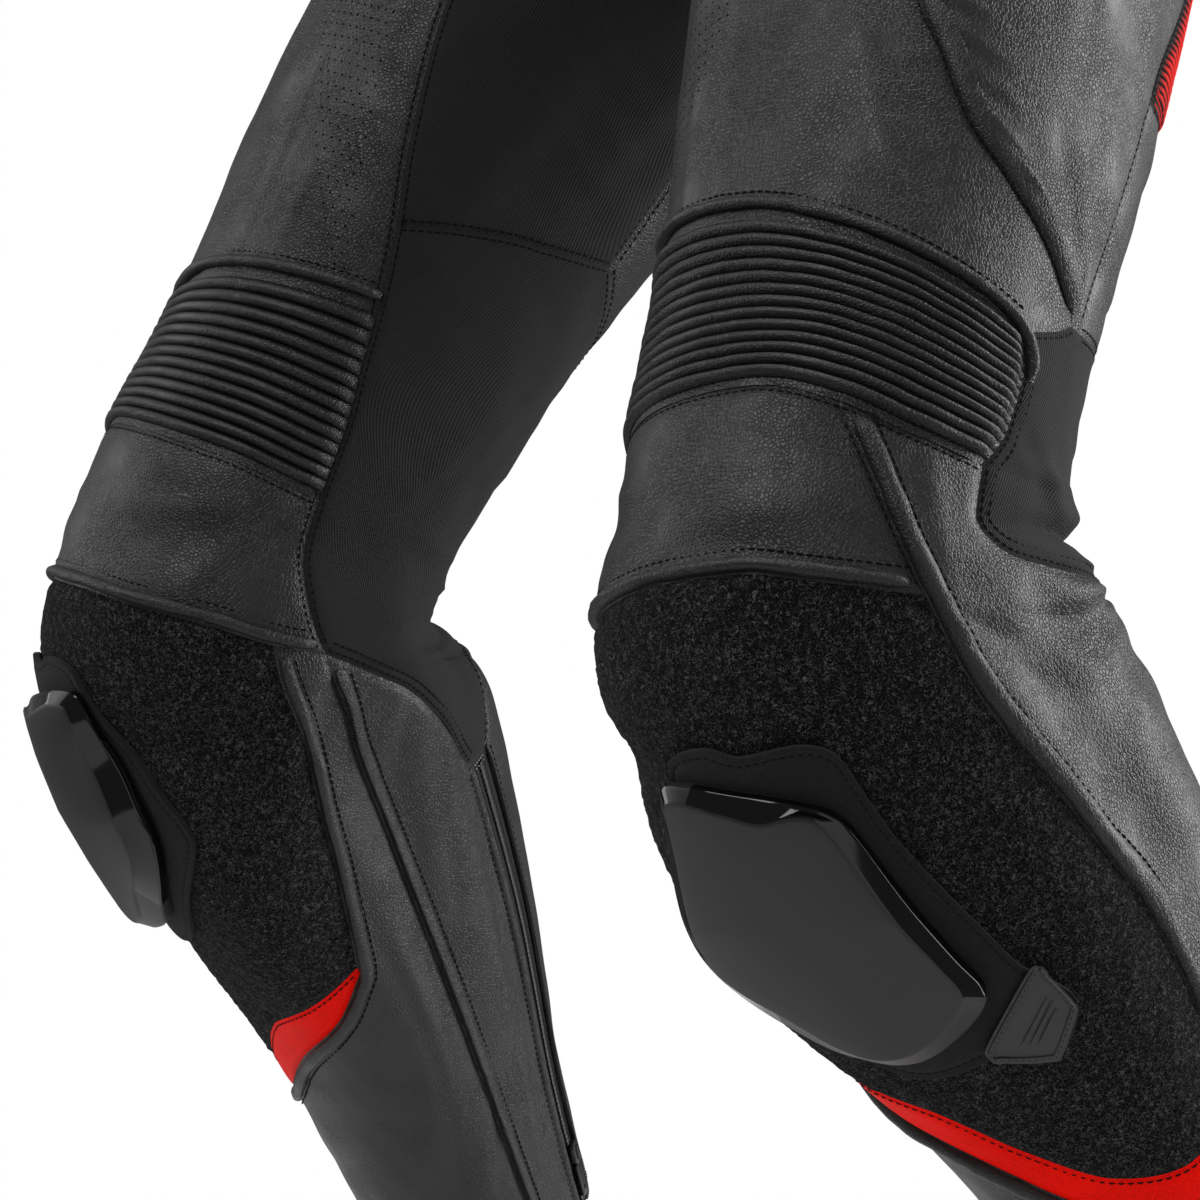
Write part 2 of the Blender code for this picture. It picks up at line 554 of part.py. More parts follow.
def plate(name, levels, finish, n, fall=0.0):
    """A plate on each shin: outlines scaled and lifted, level by level, closed by fans of triangles.

    Fall is how much lower its face is at the upper edge than in the middle.
    """
    lines = [rounded(outline, n) for outline, _, _ in levels]
    middle = lines[0].mean(axis=0)
    bottom, top = levels[0][2], levels[-1][2]
    faces = []
    last = len(levels) * n
    for j in range(n):
        k = (j + 1) % n
        faces += [(r * n + j, r * n + k, (r + 1) * n + k, (r + 1) * n + j) for r in range(len(levels) - 1)]
        faces += [(last, k, j), (last + 1, last - n + j, last - n + k)]
    for leg, flip in (("left", 1), ("right", -1)):
        at = SLIDERS[leg]
        rings = []
        for line, (_, scale, lift) in zip(lines, levels):
            flat = middle + (line - middle) * scale
            drop = fall * np.clip(-flat[:, 0] / 55, 0, 1) * (lift - bottom) / (top - bottom)
            rings.append(cloth(slider_places(flat, at), lift - drop))
        caps = [cloth(slider_places(middle[None], at), levels[k][2]) for k in (0, -1)]
        add(name + "_" + leg, np.concatenate(rings + caps) * (flip, 1, 1), faces, finish)


def block(name, middle, axes, size, finish, origin=(0, 0, 0)):
    """A small chamfered block; axes are its across, along and up directions."""
    wide, long, high = (s / 2 for s in size)
    cut = min(size) * 0.25
    points = []
    for up, inset in ((-high, cut), (-high + cut, 0), (high - cut, 0), (high, cut)):
        for sx, sy in ((-1, -1), (1, -1), (1, 1), (-1, 1)):
            points.append(middle + axes[0] * sx * (wide - inset) + axes[1] * sy * (long - inset) + axes[2] * up)
    faces = [(3, 2, 1, 0), (12, 13, 14, 15)]
    for r in range(0, 12, 4):
        faces += [(r + j, r + (j + 1) % 4, r + 4 + (j + 1) % 4, r + 4 + j) for j in range(4)]
    pair(name, np.array(points), faces, finish, origin)


def inner_seam(*names, turn=0):
    """The inner seam from the crotch, where it starts on the middle seam."""
    places = chain(*names, turn=turn)
    places[0, 1] = centre_angle(CROTCH_FRONT, False) + 360 * turn
    return places


def back_binding(*names):
    """The binding behind the gusset, which starts on the middle seam."""
    places = chain(*names)
    places[0, 1] = centre_angle(CROTCH_BACK, True)
    return places


def upper_panels():
    """Hips, thighs and gusset, from the waistband to above the knee."""
    edge = WAISTBAND_EDGE
    welt, rear = FRONT_WELT[0][1], REAR_SEAM[0][1]
    panel("thigh_front", [patch(
        level(edge, centre_angle(edge, False), welt, 10),
        chain("ribs top", "thigh tail"),
        chain(centre(edge, CROTCH_FRONT, False, 7), inner_seam("inner beside gusset", "inner beside stretch")),
        chain("front welt"))], "leather")
    panel("thigh_outer", [patch(
        level(edge, welt, rear, 5),
        chain("outer tip"),
        chain("front welt"),
        chain("rear beside seat", "rear beside ribs", "rear beside back"))], "leather")
    panel("seat", [patch(
        level(edge, rear, centre_angle(edge, True), 7),
        chain("seat edge"),
        chain("rear beside seat"),
        chain(centre(edge, CROTCH_BACK, True, 5), back_binding("binding beside seat")))], "leather")
    ribbed("seat_ribs", (
        chain("seat edge"),
        chain("seat ribs edge"),
        chain("rear beside ribs", finer=8),
        chain("binding beside ribs", finer=20)), "red_ribs", SEAT_RIB_COUNT, SEAT_RIB_HEIGHT, 90, 2)
    panel("thigh_back", [patch(
        chain("seat ribs edge"),
        chain("thigh back edge"),
        chain("rear beside back"),
        chain("binding beside back"))], "leather")
    bend = np.linspace(centre_angle(CROTCH_BACK, True), centre_angle(CROTCH_FRONT, False) + 360, 6)
    panel("gusset", [patch(
        np.stack([centre_row(bend), bend], -1),
        chain("stretch seam"),
        back_binding("binding beside seat", "binding beside ribs", "binding beside back"),
        inner_seam("inner beside gusset", turn=1))], "stretch", wall=STRETCH)


def knee_panels():
    """Accordion, knee, loop panel and the stretch cloth that joins thigh and calf behind the knee."""
    ribbed("accordion", (
        chain("ribs top"),
        chain("ribs bottom"),
        chain("inner beside ribs", finer=8),
        chain("ribs outer end", finer=7)), "leather", RIB_COUNT, RIB_HEIGHT, 85, 3)
    panel("knee_front", [patch(
        chain("knee top"),
        chain("knee edge beside calf", "knee edge"),
        chain("inner beside knee"),
        chain("shin welt beside knee"))], "leather")
    panel("knee_loop", [patch(
        chain("knee edge"),
        chain("loop bottom"),
        chain("loop edge"),
        chain("shin welt beside loop"))], "loop")
    panel("knee_trim", [patch(
        chain("loop bottom"),
        chain("trim bottom"),
        chain("trim end"),
        chain("shin welt beside trim"))], "red_leather")
    panel("knee_stretch", [patch(
        chain("thigh tail", "outer tip, plain", "thigh back edge", "stretch seam"),
        chain("hollow beside shin", "hollow beside calf back", "hollow beside zip", "hollow beside calf"),
        chain("ribs outer end", "hollow beside ribs"),
        chain("inner beside stretch", "inner beside ribs", "inner beside knee", turn=1))], "stretch", wall=STRETCH)


def calf_panels():
    """Leather below the knee, and the zip."""
    inner, outer, back = CALF_SEAM[-1][1], SHIN_WELT[-1][1], CALF_BACK_SEAM[-1][1]
    zip_outer, zip_inner = ZIP_OUTER_EDGE[-1][1], ZIP_INNER_EDGE[-1][1]
    panel("calf_inner", [patch(
        chain("calf inner top"),
        level(HEM, inner, outer, 8),
        chain("calf seam, top", "calf seam, upper", "calf seam, middle", "calf seam, lower"),
        chain("loop edge", "trim end", "trim bottom", "shin welt to hem"))], "leather")
    panel("shin_outer", [
        patch(
            chain("outer shin top"),
            chain("shin corner"),
            chain("shin welt beside knee"),
            chain("hollow beside ribs")),
        patch(
            chain("shin corner", "hollow beside shin"),
            level(HEM, outer, back, 9),
            chain("shin welt beside loop", "shin welt beside trim", "shin welt to hem"),
            chain("calf back seam"))], "leather")
    panel("calf_back", [patch(
        chain("hollow beside calf back"),
        level(HEM, back, zip_outer, 4),
        chain("calf back seam"),
        chain("zip outer edge"))], "leather")
    panel("zip", [patch(
        chain("hollow beside zip"),
        level(HEM, zip_outer, zip_inner, 1),
        chain("zip outer edge"),
        chain("zip inner edge"))], "zip", wall=ZIP_WALL, lift=-ZIP_SINK)
    panel("calf_side", [patch(
        chain("hollow beside calf"),
        level(HEM, zip_inner, inner + 360, 4),
        chain("zip inner edge"),
        chain("calf seam, top", "calf seam, side", turn=1))], "leather")


def cut(seam, start, end, n, by_angle=False):
    """Places on a seam at even distances, for what is laid along it."""
    x = np.linspace(start, end, 200)
    line = np.stack([smooth(x, seam), x] if by_angle else [x, smooth(x, seam)], -1)
    at = np.concatenate([[0], np.cumsum(travelled(line))])
    even = np.linspace(0, at[-1], n + 1)
    return np.stack([np.interp(even, at, line[:, k]) for k in (0, 1)], -1)


def trims():
    """Piping and welts."""
    strip("piping_ribs", cut(RIBS_TOP, -59, 76, 12, by_angle=True), "leather")
    strip("piping_knee", cut(KNEE_EDGE, -82, 54, 12, by_angle=True), "leather")
    strip("piping_loop", cut(LOOP_EDGE, 9.1, 11.38, 10), "leather")
    strip("welt_front", cut(FRONT_WELT, 0.6, 6.9, 24), "leather")
    strip("welt_shin", cut(SHIN_WELT, 7.95, 13.9, 15), "leather")


def slider_parts():
    """The knee slider: its suede flap, the plastic puck and the rubber label."""
    low, high = FLAP_LIFT, FLAP_LIFT + FLAP_WALL
    plate("slider_flap", [(FLAP_OUTLINE, scale, lift) for scale, lift in (
        (0.3, low), (0.65, low), (1.0, low), (1.0, high), (0.65, high), (0.3, high))], "suede", 30)
    low, high = PUCK_LIFT, PUCK_LIFT + PUCK_HEIGHT
    plate("slider_puck", (
        (PUCK_OUTLINE, 0.3, low), (PUCK_OUTLINE, 0.65, low), (PUCK_OUTLINE, 0.97, low), (PUCK_OUTLINE, 1.0, low + 2),
        (PUCK_OUTLINE, 0.99, high - PUCK_BEVEL), (PUCK_FACE, 1.0, high), (PUCK_FACE, 0.5, high + 1)), "slider", 30,
        fall=PUCK_FALL)
    low, high = LABEL_LIFT, LABEL_LIFT + LABEL_WALL
    plate("slider_label", [(LABEL_OUTLINE, scale, lift) for scale, lift in (
        (0.5, low), (1.0, low), (1.0, high), (0.85, high + 0.4))], "rubber", 16)


def zip_hardware():
    """The runner at the closed zip's lower end, and its pull, hinged across the runner's end."""
    angle = float(smooth(RUNNER_ROW, ZIP_OUTER_EDGE) + smooth(RUNNER_ROW, ZIP_INNER_EDGE)) / 2
    place = np.array([RUNNER_ROW, angle])
    up = facing(*place)
    along = unit(cloth(place + (0.1, 0)) - cloth(place - (0.1, 0)))
    along = unit(along - (along @ up) * up)
    beside = np.cross(along, up)
    runner = cloth(place, -ZIP_SINK + LAYER_GAP + RUNNER_SIZE[2] / 2)
    block("zip_runner", runner, (beside, along, up), RUNNER_SIZE, "metal")
    axle = runner + along * (RUNNER_SIZE[1] / 2 + PULL_AXLE)
    middle = axle + along * (PULL_SIZE[1] / 2 - PULL_HEAD)
    block("zip_pull", middle, (beside, along, up), PULL_SIZE, "metal", origin=axle)


def waistband():
    rows = np.linspace(0, WAISTBAND_EDGE, 3)
    start, end = centre_angle(rows, False), centre_angle(rows, True)
    angle = start[:, None] + (end - start)[:, None] * np.linspace(0, 1, 17)
    row = np.broadcast_to(rows[:, None], angle.shape)
    places = np.stack([row, angle], -1)
    whole = []
    for half in (cloth(places), cloth(places, -LEATHER), facing(row, angle)):
        right = (half * (-1, 1, 1))[:, ::-1]
        middle = (half[:, -1:] + right[:, :1]) / 2
        whole.append(np.concatenate([half[:, :-1], middle, right[:, 1:]], axis=1))
    cells = cells_of(np.arange(whole[0][..., 0].size).reshape(whole[0].shape[:2]))
    outside, inside, normals = (w.reshape(-1, 3) for w in whole)
    outside, inside = (drawn_in(points, normals, cells) for points in (outside, inside))
    add("waistband", *walled(outside, inside, cells), "leather")


def fly():
    """The flap over the front opening, which reaches a little past the middle."""
    layers = ([], [])
    for row, wide in zip(np.linspace(0.04, FLY_END, 8), FLY_WIDTH * np.array([1, 1, 1, 1, 1, 1, 0.85, 0.5])):
        first = float(centre_angle(row, False))
        per_degree = np.linalg.norm(skin(row, first + 5) - skin(row, first)) / 5
        reach = np.array([FLY_OVERLAP, wide / 3, wide * 2 / 3, wide]) / per_degree
        for layer, lift in zip(layers, (FLY_LIFT + LEATHER, FLY_LIFT)):
            points = cloth(np.stack([np.full(4, row), first + reach], -1), lift)
            points[0, 0] *= -1
            layer.append(points)
    cells = cells_of(np.arange(8 * 4).reshape(8, 4))
    add("fly_flap", *walled(*(np.concatenate(layer) for layer in layers), cells), "leather")


def waist_snap():
    place = np.array([SNAP_ROW, float(centre_angle(SNAP_ROW, False)) + SNAP_SETBACK])
    up = facing(*place)
    middle = cloth(place, FLY_LIFT + LEATHER + LAYER_GAP)
    x = unit(np.cross(up, (0, 0, 1)))
    y = np.cross(up, x)
    turn = np.linspace(0, 2 * math.pi, SNAP_SIDES, endpoint=False)[:, None]
    circle = (x * np.cos(turn) + y * np.sin(turn)) * SNAP_RADIUS
    levels = ((1.0, 0.0), (1.0, SNAP_HEIGHT * 0.6), (0.8, SNAP_HEIGHT))
    points = np.concatenate([middle + circle * scale + up * rise for scale, rise in levels])
    n = SNAP_SIDES
    faces = [(r + j, r + (j + 1) % n, r + n + (j + 1) % n, r + n + j) for r in (0, n) for j in range(n)]
    add("waist_snap", points, faces + [tuple(range(n))[::-1], tuple(range(2 * n, 3 * n))], "metal")


def main():
    for made in list(bpy.data.objects):
        bpy.data.objects.remove(made, do_unlink=True)
    upper_panels()
    knee_panels()
    calf_panels()
    trims()
    slider_parts()
    zip_hardware()
    waistband()
    fly()
    waist_snap()


main()
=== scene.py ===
"""Leather motorcycle trousers, filled out as if worn, dressed over their solids.

Tables are in millimetres and degrees, in the frame of the solids: the origin is the middle of the waist
opening, +Z is up, the wearer faces -Y and their left side is +X. A place on a leg is a ring number, from
the waist (0) over the knee (9) to the hem (14), and an angle: 0 in front, 90 outside, 180 behind.
"""
import math

import bpy
import numpy as np
from mathutils import Matrix
from mathutils.kdtree import KDTree


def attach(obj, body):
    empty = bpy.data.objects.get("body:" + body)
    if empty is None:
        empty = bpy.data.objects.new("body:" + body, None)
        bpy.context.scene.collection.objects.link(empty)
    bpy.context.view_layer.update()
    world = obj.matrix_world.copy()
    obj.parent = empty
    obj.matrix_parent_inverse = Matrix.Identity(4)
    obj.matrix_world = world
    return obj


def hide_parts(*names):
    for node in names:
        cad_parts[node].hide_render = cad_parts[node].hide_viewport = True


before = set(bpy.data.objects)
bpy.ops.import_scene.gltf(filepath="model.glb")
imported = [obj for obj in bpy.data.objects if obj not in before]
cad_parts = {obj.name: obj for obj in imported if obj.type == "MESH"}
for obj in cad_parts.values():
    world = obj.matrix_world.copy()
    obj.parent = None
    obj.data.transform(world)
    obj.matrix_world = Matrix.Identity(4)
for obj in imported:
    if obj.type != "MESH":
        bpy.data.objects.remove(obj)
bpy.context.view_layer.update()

MM = 0.001
LEGS = {"left": 1, "right": -1}
BODY = "trousers"

LEATHER_WALL, STRETCH_WALL, ZIP_WALL = 2.0, 1.6, 1.4
SQUARENESS = 2.2
WAISTBAND_EDGE = 0.5
CROTCH_FRONT, CROTCH_BACK = 3.2, 3.3
HEM = 14.0
LEAST_FILL = 0.31                 # the least share of its rectangle that a cut piece is taken to fill
ROW_LENGTH, ARC_LENGTH = 75.0, 1.45
FINE = 12                         # places of a seam in each of its steps
SPACING = 3.5                     # usual distance between points of a panel
LAID_STEP = 2.0                   # distance between places of what is laid along a seam
EDGE_STEPS = (0.0, 0.7, 1.6, 3.0)  # closer points beside a seam
SEAM_DIP, SEAM_DIP_WIDTH = 1.1, 2.6
ROW_NUDGE, ANGLE_NUDGE = 0.02, 0.6
HALVINGS = 40

# How worn the cloth is: on creases of the full height, and on a band beside a seam.
CREASE_WEAR, FULL_CREASE = 0.8, 1.6
EDGE_WEAR, EDGE_WEAR_PLACE, EDGE_WEAR_WIDTH = 0.6, 3.2, 2.0

# Soft uneven dents of the cloth: their depth, their shortest and longest wave, and the seeds of their waves.
DENT_DEPTH, LARGE_DENT_SHARE = 0.25, 1.5
SMALL_DENTS, LARGE_DENTS, NAP_DENTS = (14, 46), (60, 140), (3.0, 7.0, 60)
RIB_DENTS, ROLL_DENTS, BAND_DENTS = (9, 30), (6, 24), (30, 90)
DENT_INSET = 9                    # dents fade out at this distance from a seam
DENT_SEEDS = {"left": 11, "right": 29}
RIB_SEEDS = {"left": 41, "right": 53}
ROLL_SEEDS = {"left": 61, "right": 67}
BAND_SEED = 83

RIB_COUNT, RIB_HEIGHT, RIB_START, RIB_SPACING = 13, 3.2, 4.0, 3.6
PUCKER_HEIGHT, PUCKER_PITCH = 0.12, 3.4
SEAT_RIB_COUNT, SEAT_RIB_HEIGHT = 27, 1.5
RIB_STEPS = (0.0, 0.04, 0.11, 0.22, 0.36, 0.5, 0.64, 0.78, 0.89, 0.96)

RING_COLUMNS = ("out", "back", "up", "lean", "roll", "turn", "outer", "inner", "front", "behind")
RINGS = {
    #          out  back    up  lean roll turn outer inner front behind
    "waist":  (60,    0,    0,   -8,   0,   0, 103, 400, 112, 118),
    "belly":  (68,    4,  -60,   -3,   0,   0, 108, 340, 116, 128),
    "seat":   (84,    7, -140,    5,   2,   2, 106, 200, 120, 142),
    "hip":    (96,    0, -208,   13,   5,   5, 104, 130, 122, 136),
    "crotch": (106, -24, -276,   20,   8,   8, 106, 104, 122, 118),
    "upper":  (124, -64, -358,   24,  11,  10, 105,  91, 119, 106),
    "mid":    (149, -110, -442,  25,  12,  11, 102,  86, 108,  87),
    "above":  (171, -150, -520,  20,  12,  11,  91,  84,  97,  77),
    "ribs":   (187, -180, -580,   8,  10,  11,  86,  87, 100,  76),
    "knee":   (198, -192, -634,  -8,   2,  11,  85,  95, 107,  83),
    "below":  (204, -178, -686, -24,  -6,  11,  96,  90,  90, 112),
    "calf":   (216, -140, -744, -34, -12,  11,  90,  83,  78, 114),
    "low":    (232,  -88, -820, -37, -13,  11,  71,  76,  60,  99),
    "shin":   (250,  -30, -900, -37, -13,  11,  60,  62,  54,  74),
    "hem":    (264,   18, -966, -37, -13,  11,  52,  51,  50,  60),
}

FOLD_COLUMNS = ("row", "angle", "heading", "length", "width", "height")
FOLDS = {
    # heading 0 runs round the leg, 90 runs down it; height < 0 is a trough
    "roll over the knee hollow": (8.4, 150, 0, 60, 17, 6),
    "trough in the knee hollow": (8.95, 165, 0, 65, 15, -4),
    "roll under the knee hollow": (9.5, 200, 8, 45, 15, 3),
    "top corner of the calf": (8.98, 119, 14, 42, 20, 17),
    "fullness behind the calf, outside": (9.6, 127, 90, 80, 32, 11),
    "flat behind the calf, inside": (9.75, 212, 90, 50, 36, -14),
    "flat outside the shin": (10.1, 34, 90, 135, 45, -8),
    "fullness inside the shin": (10.8, -38, 90, 62, 36, 14),
    "dent above the slider": (9.55, -40, 0, 40, 17, -6),
    "fold under the seat": (4.5, 205, -6, 60, 20, -6),
    "groin fold": (4.6, 300, 35, 55, 22, -4),
    "deep seam of the calf": (10.9, 270, 90, 110, 15, -5),
    "ridge behind the deep seam": (10.9, 252, 86, 90, 13, 3),
    "ridge down the outer shin": (10.4, 112, 84, 90, 16, 4),
    "trough down the outer shin": (10.8, 132, 84, 80, 15, -4),
    "dent of the knee armour": (8.3, -25, 14, 70, 14, -2.5),
}

SOFT_FOLDS = {
    # large folds of the cloth that only round off those above
    "rounder corner of the calf": (9.03, 121, 0, 50, 11, -8),
    "filled hollow under the corner": (9.44, 126, 0, 50, 12, 4.2),
    "knee roll": (8.14, 118, 4, 46, 9, 2.5),
    "pocket under the roll": (8.39, 121, 0, 44, 5, -7),
    "band under the pocket": (8.62, 120, 0, 44, 6, 4),
}

CREASE_COLUMNS = ("row", "angle", "heading", "length", "width", "height", "bend")
CREASES = (
    # long soft wrinkles down the front of the thigh
    (5.0, 12, 84, 70, 6.0, 0.9, 4), (5.5, 2, 88, 55, 5.0, 0.8, -3), (5.9, 20, 80, 50, 5.0, 0.7, 3),
    (6.1, -8, 92, 45, 4.5, 0.7, 2), (4.4, 18, 86, 60, 7.0, 0.9, -5), (4.7, -6, 94, 60, 6.0, 0.8, 4),
    (3.6, 8, 82, 55, 7.0, 0.9, 3), (6.4, 30, 70, 30, 4.0, 0.8, 2), (5.2, -26, 96, 50, 6.0, 0.6, 0),
    (2.6, 12, 60, 50, 8.0, 1.1, 5), (3.1, -12, 40, 45, 8.0, 1.2, -6), (2.2, -8, 28, 40, 7.0, 1.0, 4),
    (1.6, 18, 70, 50, 8.0, 0.9, 4), (6.35, 8, 84, 26, 4.0, 0.7, 1), (6.3, -24, 90, 30, 4.0, 0.6, -1),
    # short puckers beside the front welt
    (5.25, 42, 12, 12, 2.6, 0.9, 1), (5.45, 43, 4, 13, 2.4, 0.8, -1), (5.62, 45, 16, 12, 2.4, 0.9, 1),
    (5.8, 46, 8, 13, 2.6, 0.9, 0), (5.98, 51, 18, 12, 2.4, 0.8, 1), (6.15, 56, 10, 11, 2.4, 0.9, -1),
    (4.9, 41, 10, 13, 2.8, 0.8, 1), (4.6, 40, 2, 12, 2.6, 0.7, -1), (4.3, 39, 14, 12, 2.6, 0.7, 1),
    (6.36, 63, 26, 11, 2.4, 0.8, 1), (6.52, 73, 30, 11, 2.2, 0.8, 0), (5.05, 27, -8, 10, 2.4, 0.6, 0),
    (5.4, 27, -4, 10, 2.4, 0.6, 0), (5.75, 30, -10, 10, 2.2, 0.6, 0), (6.1, 38, -12, 10, 2.2, 0.6, 0),
    # outer thigh, drawn towards the corner above the knee
    (6.35, 84, 62, 26, 5.0, 0.6, 2), (6.55, 90, 72, 22, 4.0, 0.6, -2), (6.1, 92, 76, 34, 6.0, 0.5, 3),
    (5.6, 84, 84, 50, 6.5, 1.0, -4), (5.0, 70, 88, 55, 8.0, 0.9, 5), (4.3, 84, 94, 50, 8.0, 0.8, 3),
    (6.7, 95, 80, 18, 3.2, 0.6, 0), (3.4, 70, 80, 55, 9.0, 1.0, -4), (2.6, 90, 66, 50, 9.0, 1.1, 5),
    (1.7, 74, 50, 45, 9.0, 1.1, -4), (5.35, 98, 86, 40, 5.0, 0.8, 2),
    # knee panel
    (7.95, -30, 6, 40, 6.0, -0.9, 3), (8.3, 5, -4, 46, 7.0, 0.8, -3), (8.15, 30, 40, 26, 5.0, 0.8, 2),
    (8.35, -52, 62, 22, 4.5, 0.9, 1), (8.0, -62, 74, 22, 4.0, 0.8, -1), (8.0, 18, 10, 34, 5.0, -0.6, 0),
    # outer shin, long soft folds that fan out below the knee hollow
    (9.1, 88, 60, 44, 8.0, 1.7, 3), (9.5, 80, 74, 50, 8.0, 1.1, -3), (8.95, 104, 40, 30, 7.0, 1.1, 2),
    (9.9, 98, 80, 60, 9.0, 1.2, 4), (8.35, 62, 74, 28, 5.0, 1.0, 2), (10.9, 106, 88, 80, 9.0, 0.9, -4),
    (12.3, 112, 90, 70, 8.0, 0.8, 3), (9.7, 122, 72, 40, 8.0, 1.0, 3), (11.6, 132, 86, 60, 8.0, 0.8, -3),
    (8.84, 73, 24, 12, 2.6, 0.8, 0), (8.95, 80, 32, 14, 2.8, 0.8, 1), (9.06, 76, 40, 12, 2.4, 0.7, 0),
    (8.9, 90, 16, 14, 2.8, 0.7, -1), (9.16, 82, 44, 13, 2.6, 0.6, 0), (9.0, 70, 50, 11, 2.2, 0.6, 0),
    # inner calf, folds that fan from the knee
    (9.7, 284, 66, 40, 8.0, 1.3, 4), (10.2, 292, 78, 50, 8.0, 1.1, -4), (11.3, 298, 88, 56, 8.0, 0.8, -4),
    (11.9, 284, 84, 44, 7.0, 0.8, 3), (12.5, 300, 76, 40, 8.0, 1.0, 4), (13.0, 282, 60, 32, 7.0, 1.0, -3),
    (13.4, 310, 40, 36, 7.0, 0.9, 3), (12.9, 335, 20, 40, 8.0, 0.9, 4), (13.4, 10, 8, 40, 8.0, 0.9, -3),
    (12.7, 45, 30, 34, 8.0, 0.9, 3), (13.5, 60, -10, 34, 7.0, 0.8, 2), (12.5, -10, 6, 36, 9.0, 0.7, 3),
    (9.62, 292, 20, 13, 2.6, 0.7, 1), (9.75, 289, 34, 12, 2.4, 0.7, 0), (9.9, 294, 28, 13, 2.6, 0.6, -1),
    # strip beside the zip, pebbled and slightly gathered, back strips and calf
    (10.15, 262, 72, 26, 4.5, 1.0, 1), (10.5, 256, 80, 34, 5.0, 0.9, -2), (11.2, 262, 84, 40, 5.0, 0.9, 2),
    (11.9, 252, 86, 40, 5.0, 0.8, 1), (12.9, 254, 80, 30, 5.0, 0.8, 0), (10.8, 250, 70, 22, 4.0, 0.8, 0),
    (10.6, 170, 80, 40, 8.0, 1.0, 3), (11.5, 188, 84, 46, 8.0, 0.9, -3), (12.6, 172, 70, 34, 7.0, 1.0, 2),
    (13.3, 196, 50, 26, 6.0, 0.9, 1), (10.1, 190, 20, 26, 6.0, 1.0, 2),
    # stretch cloth behind the knee
    (8.05, 100, 4, 26, 5.0, 1.2, 2), (8.2, 128, -6, 34, 5.5, 1.5, -2), (8.72, 145, 3, 30, 5.0, 1.4, 2),
    (8.0, 96, 60, 30, 6.0, 1.0, 3),
    (8.78, 175, 6, 38, 5.0, 1.5, -2), (9.2, 196, 4, 34, 6.0, 1.6, 2), (8.5, 205, -6, 34, 6.0, 1.3, 2),
    (7.7, 150, 10, 40, 7.0, 1.2, -3), (7.2, 200, -8, 44, 8.0, 1.2, 3), (8.0, 240, -14, 34, 7.0, 1.3, 3),
    (8.85, 232, -10, 30, 6.0, 1.5, -2), (9.5, 238, -22, 28, 6.0, 1.4, 1), (7.4, 262, 70, 40, 8.0, 0.9, 3),
    (6.8, 240, 60, 40, 8.0, 0.9, -3), (9.35, 222, 4, 26, 5.0, -1.2, 0),
    # gusset, thigh back and seat
    (4.5, 280, 60, 46, 9.0, 1.5, 4), (5.0, 262, 74, 50, 9.0, 1.4, -4), (4.15, 296, 58, 60, 8.0, -4.0, 5),
    (4.2, 312, 40, 40, 8.0, 1.6, 4),
    (3.9, 290, 20, 36, 8.0, 1.5, -3), (5.5, 285, 84, 44, 8.0, 0.9, 3), (6.1, 180, 8, 40, 8.0, 1.3, 4),
    (5.8, 130, 20, 34, 7.0, 1.1, -3), (6.5, 150, -8, 36, 7.0, 1.3, 3), (4.0, 180, -6, 60, 10.0, 1.6, 5),
    (3.6, 150, 20, 50, 10.0, 1.4, -5), (3.2, 200, -14, 46, 10.0, 1.5, 4), (2.4, 160, 60, 56, 12.0, 1.1, 6),
    (1.5, 200, 30, 46, 10.0, 1.0, -4), (1.1, 140, 12, 46, 9.0, 1.0, 3), (1.0, -30, 8, 36, 8.0, 0.9, 3),
    (1.2, 40, -10, 34, 8.0, 0.9, -3), (1.3, 95, 6, 40, 8.0, 0.9, 3),
)

# Seams that run down the leg: (ring, angle) in order from the top.
INNER_SEAM = ((3.2, -46), (3.8, -36), (4.4, -32), (5.23, -38), (5.93, -49), (6.28, -56), (6.6, -61),
              (6.95, -65), (7.35, -70), (7.8, -73), (8.18, -75), (8.5, -79), (9.08, -86))
FRONT_WELT = ((0.5, 36), (2, 32), (3, 30), (4, 30), (5.3, 32.5), (5.83, 36), (6.03, 42), (6.33, 52),
              (6.53, 65), (6.75, 81), (7.02, 94.5))
REAR_SEAM = ((0.5, 110), (2, 119), (3, 125), (4, 127), (4.95, 118), (5.48, 108), (6.08, 104), (6.75, 100.5),
             (7.02, 99.5))
BACK_BINDING = ((3.3, 227), (3.8, 236), (4.4, 243), (5.0, 247), (5.9, 243))
RIBS_OUTER_END = ((7.23, 79), (7.5, 82), (7.85, 80), (8.08, 74))
SHIN_WELT = ((7.8, 33), (8.2, 45), (8.75, 60), (9.05, 66), (9.45, 71), (10.2, 82), (10.93, 90), (11.7, 92),
             (14, 95))
LOOP_EDGE = ((8.94, -73), (9.78, -76), (10.7, -69), (11.2, -62), (11.47, -57))
CALF_SEAM = ((9.08, -86), (9.8, -90), (14, -90))
CALF_BACK_SEAM = ((9.35, 150), (11, 153), (14, 150))
ZIP_OUTER_EDGE = ((10.95, 231), (12.3, 227), (14, 225))
ZIP_INNER_EDGE = ((10.95, 241.5), (12.3, 239), (14, 240))

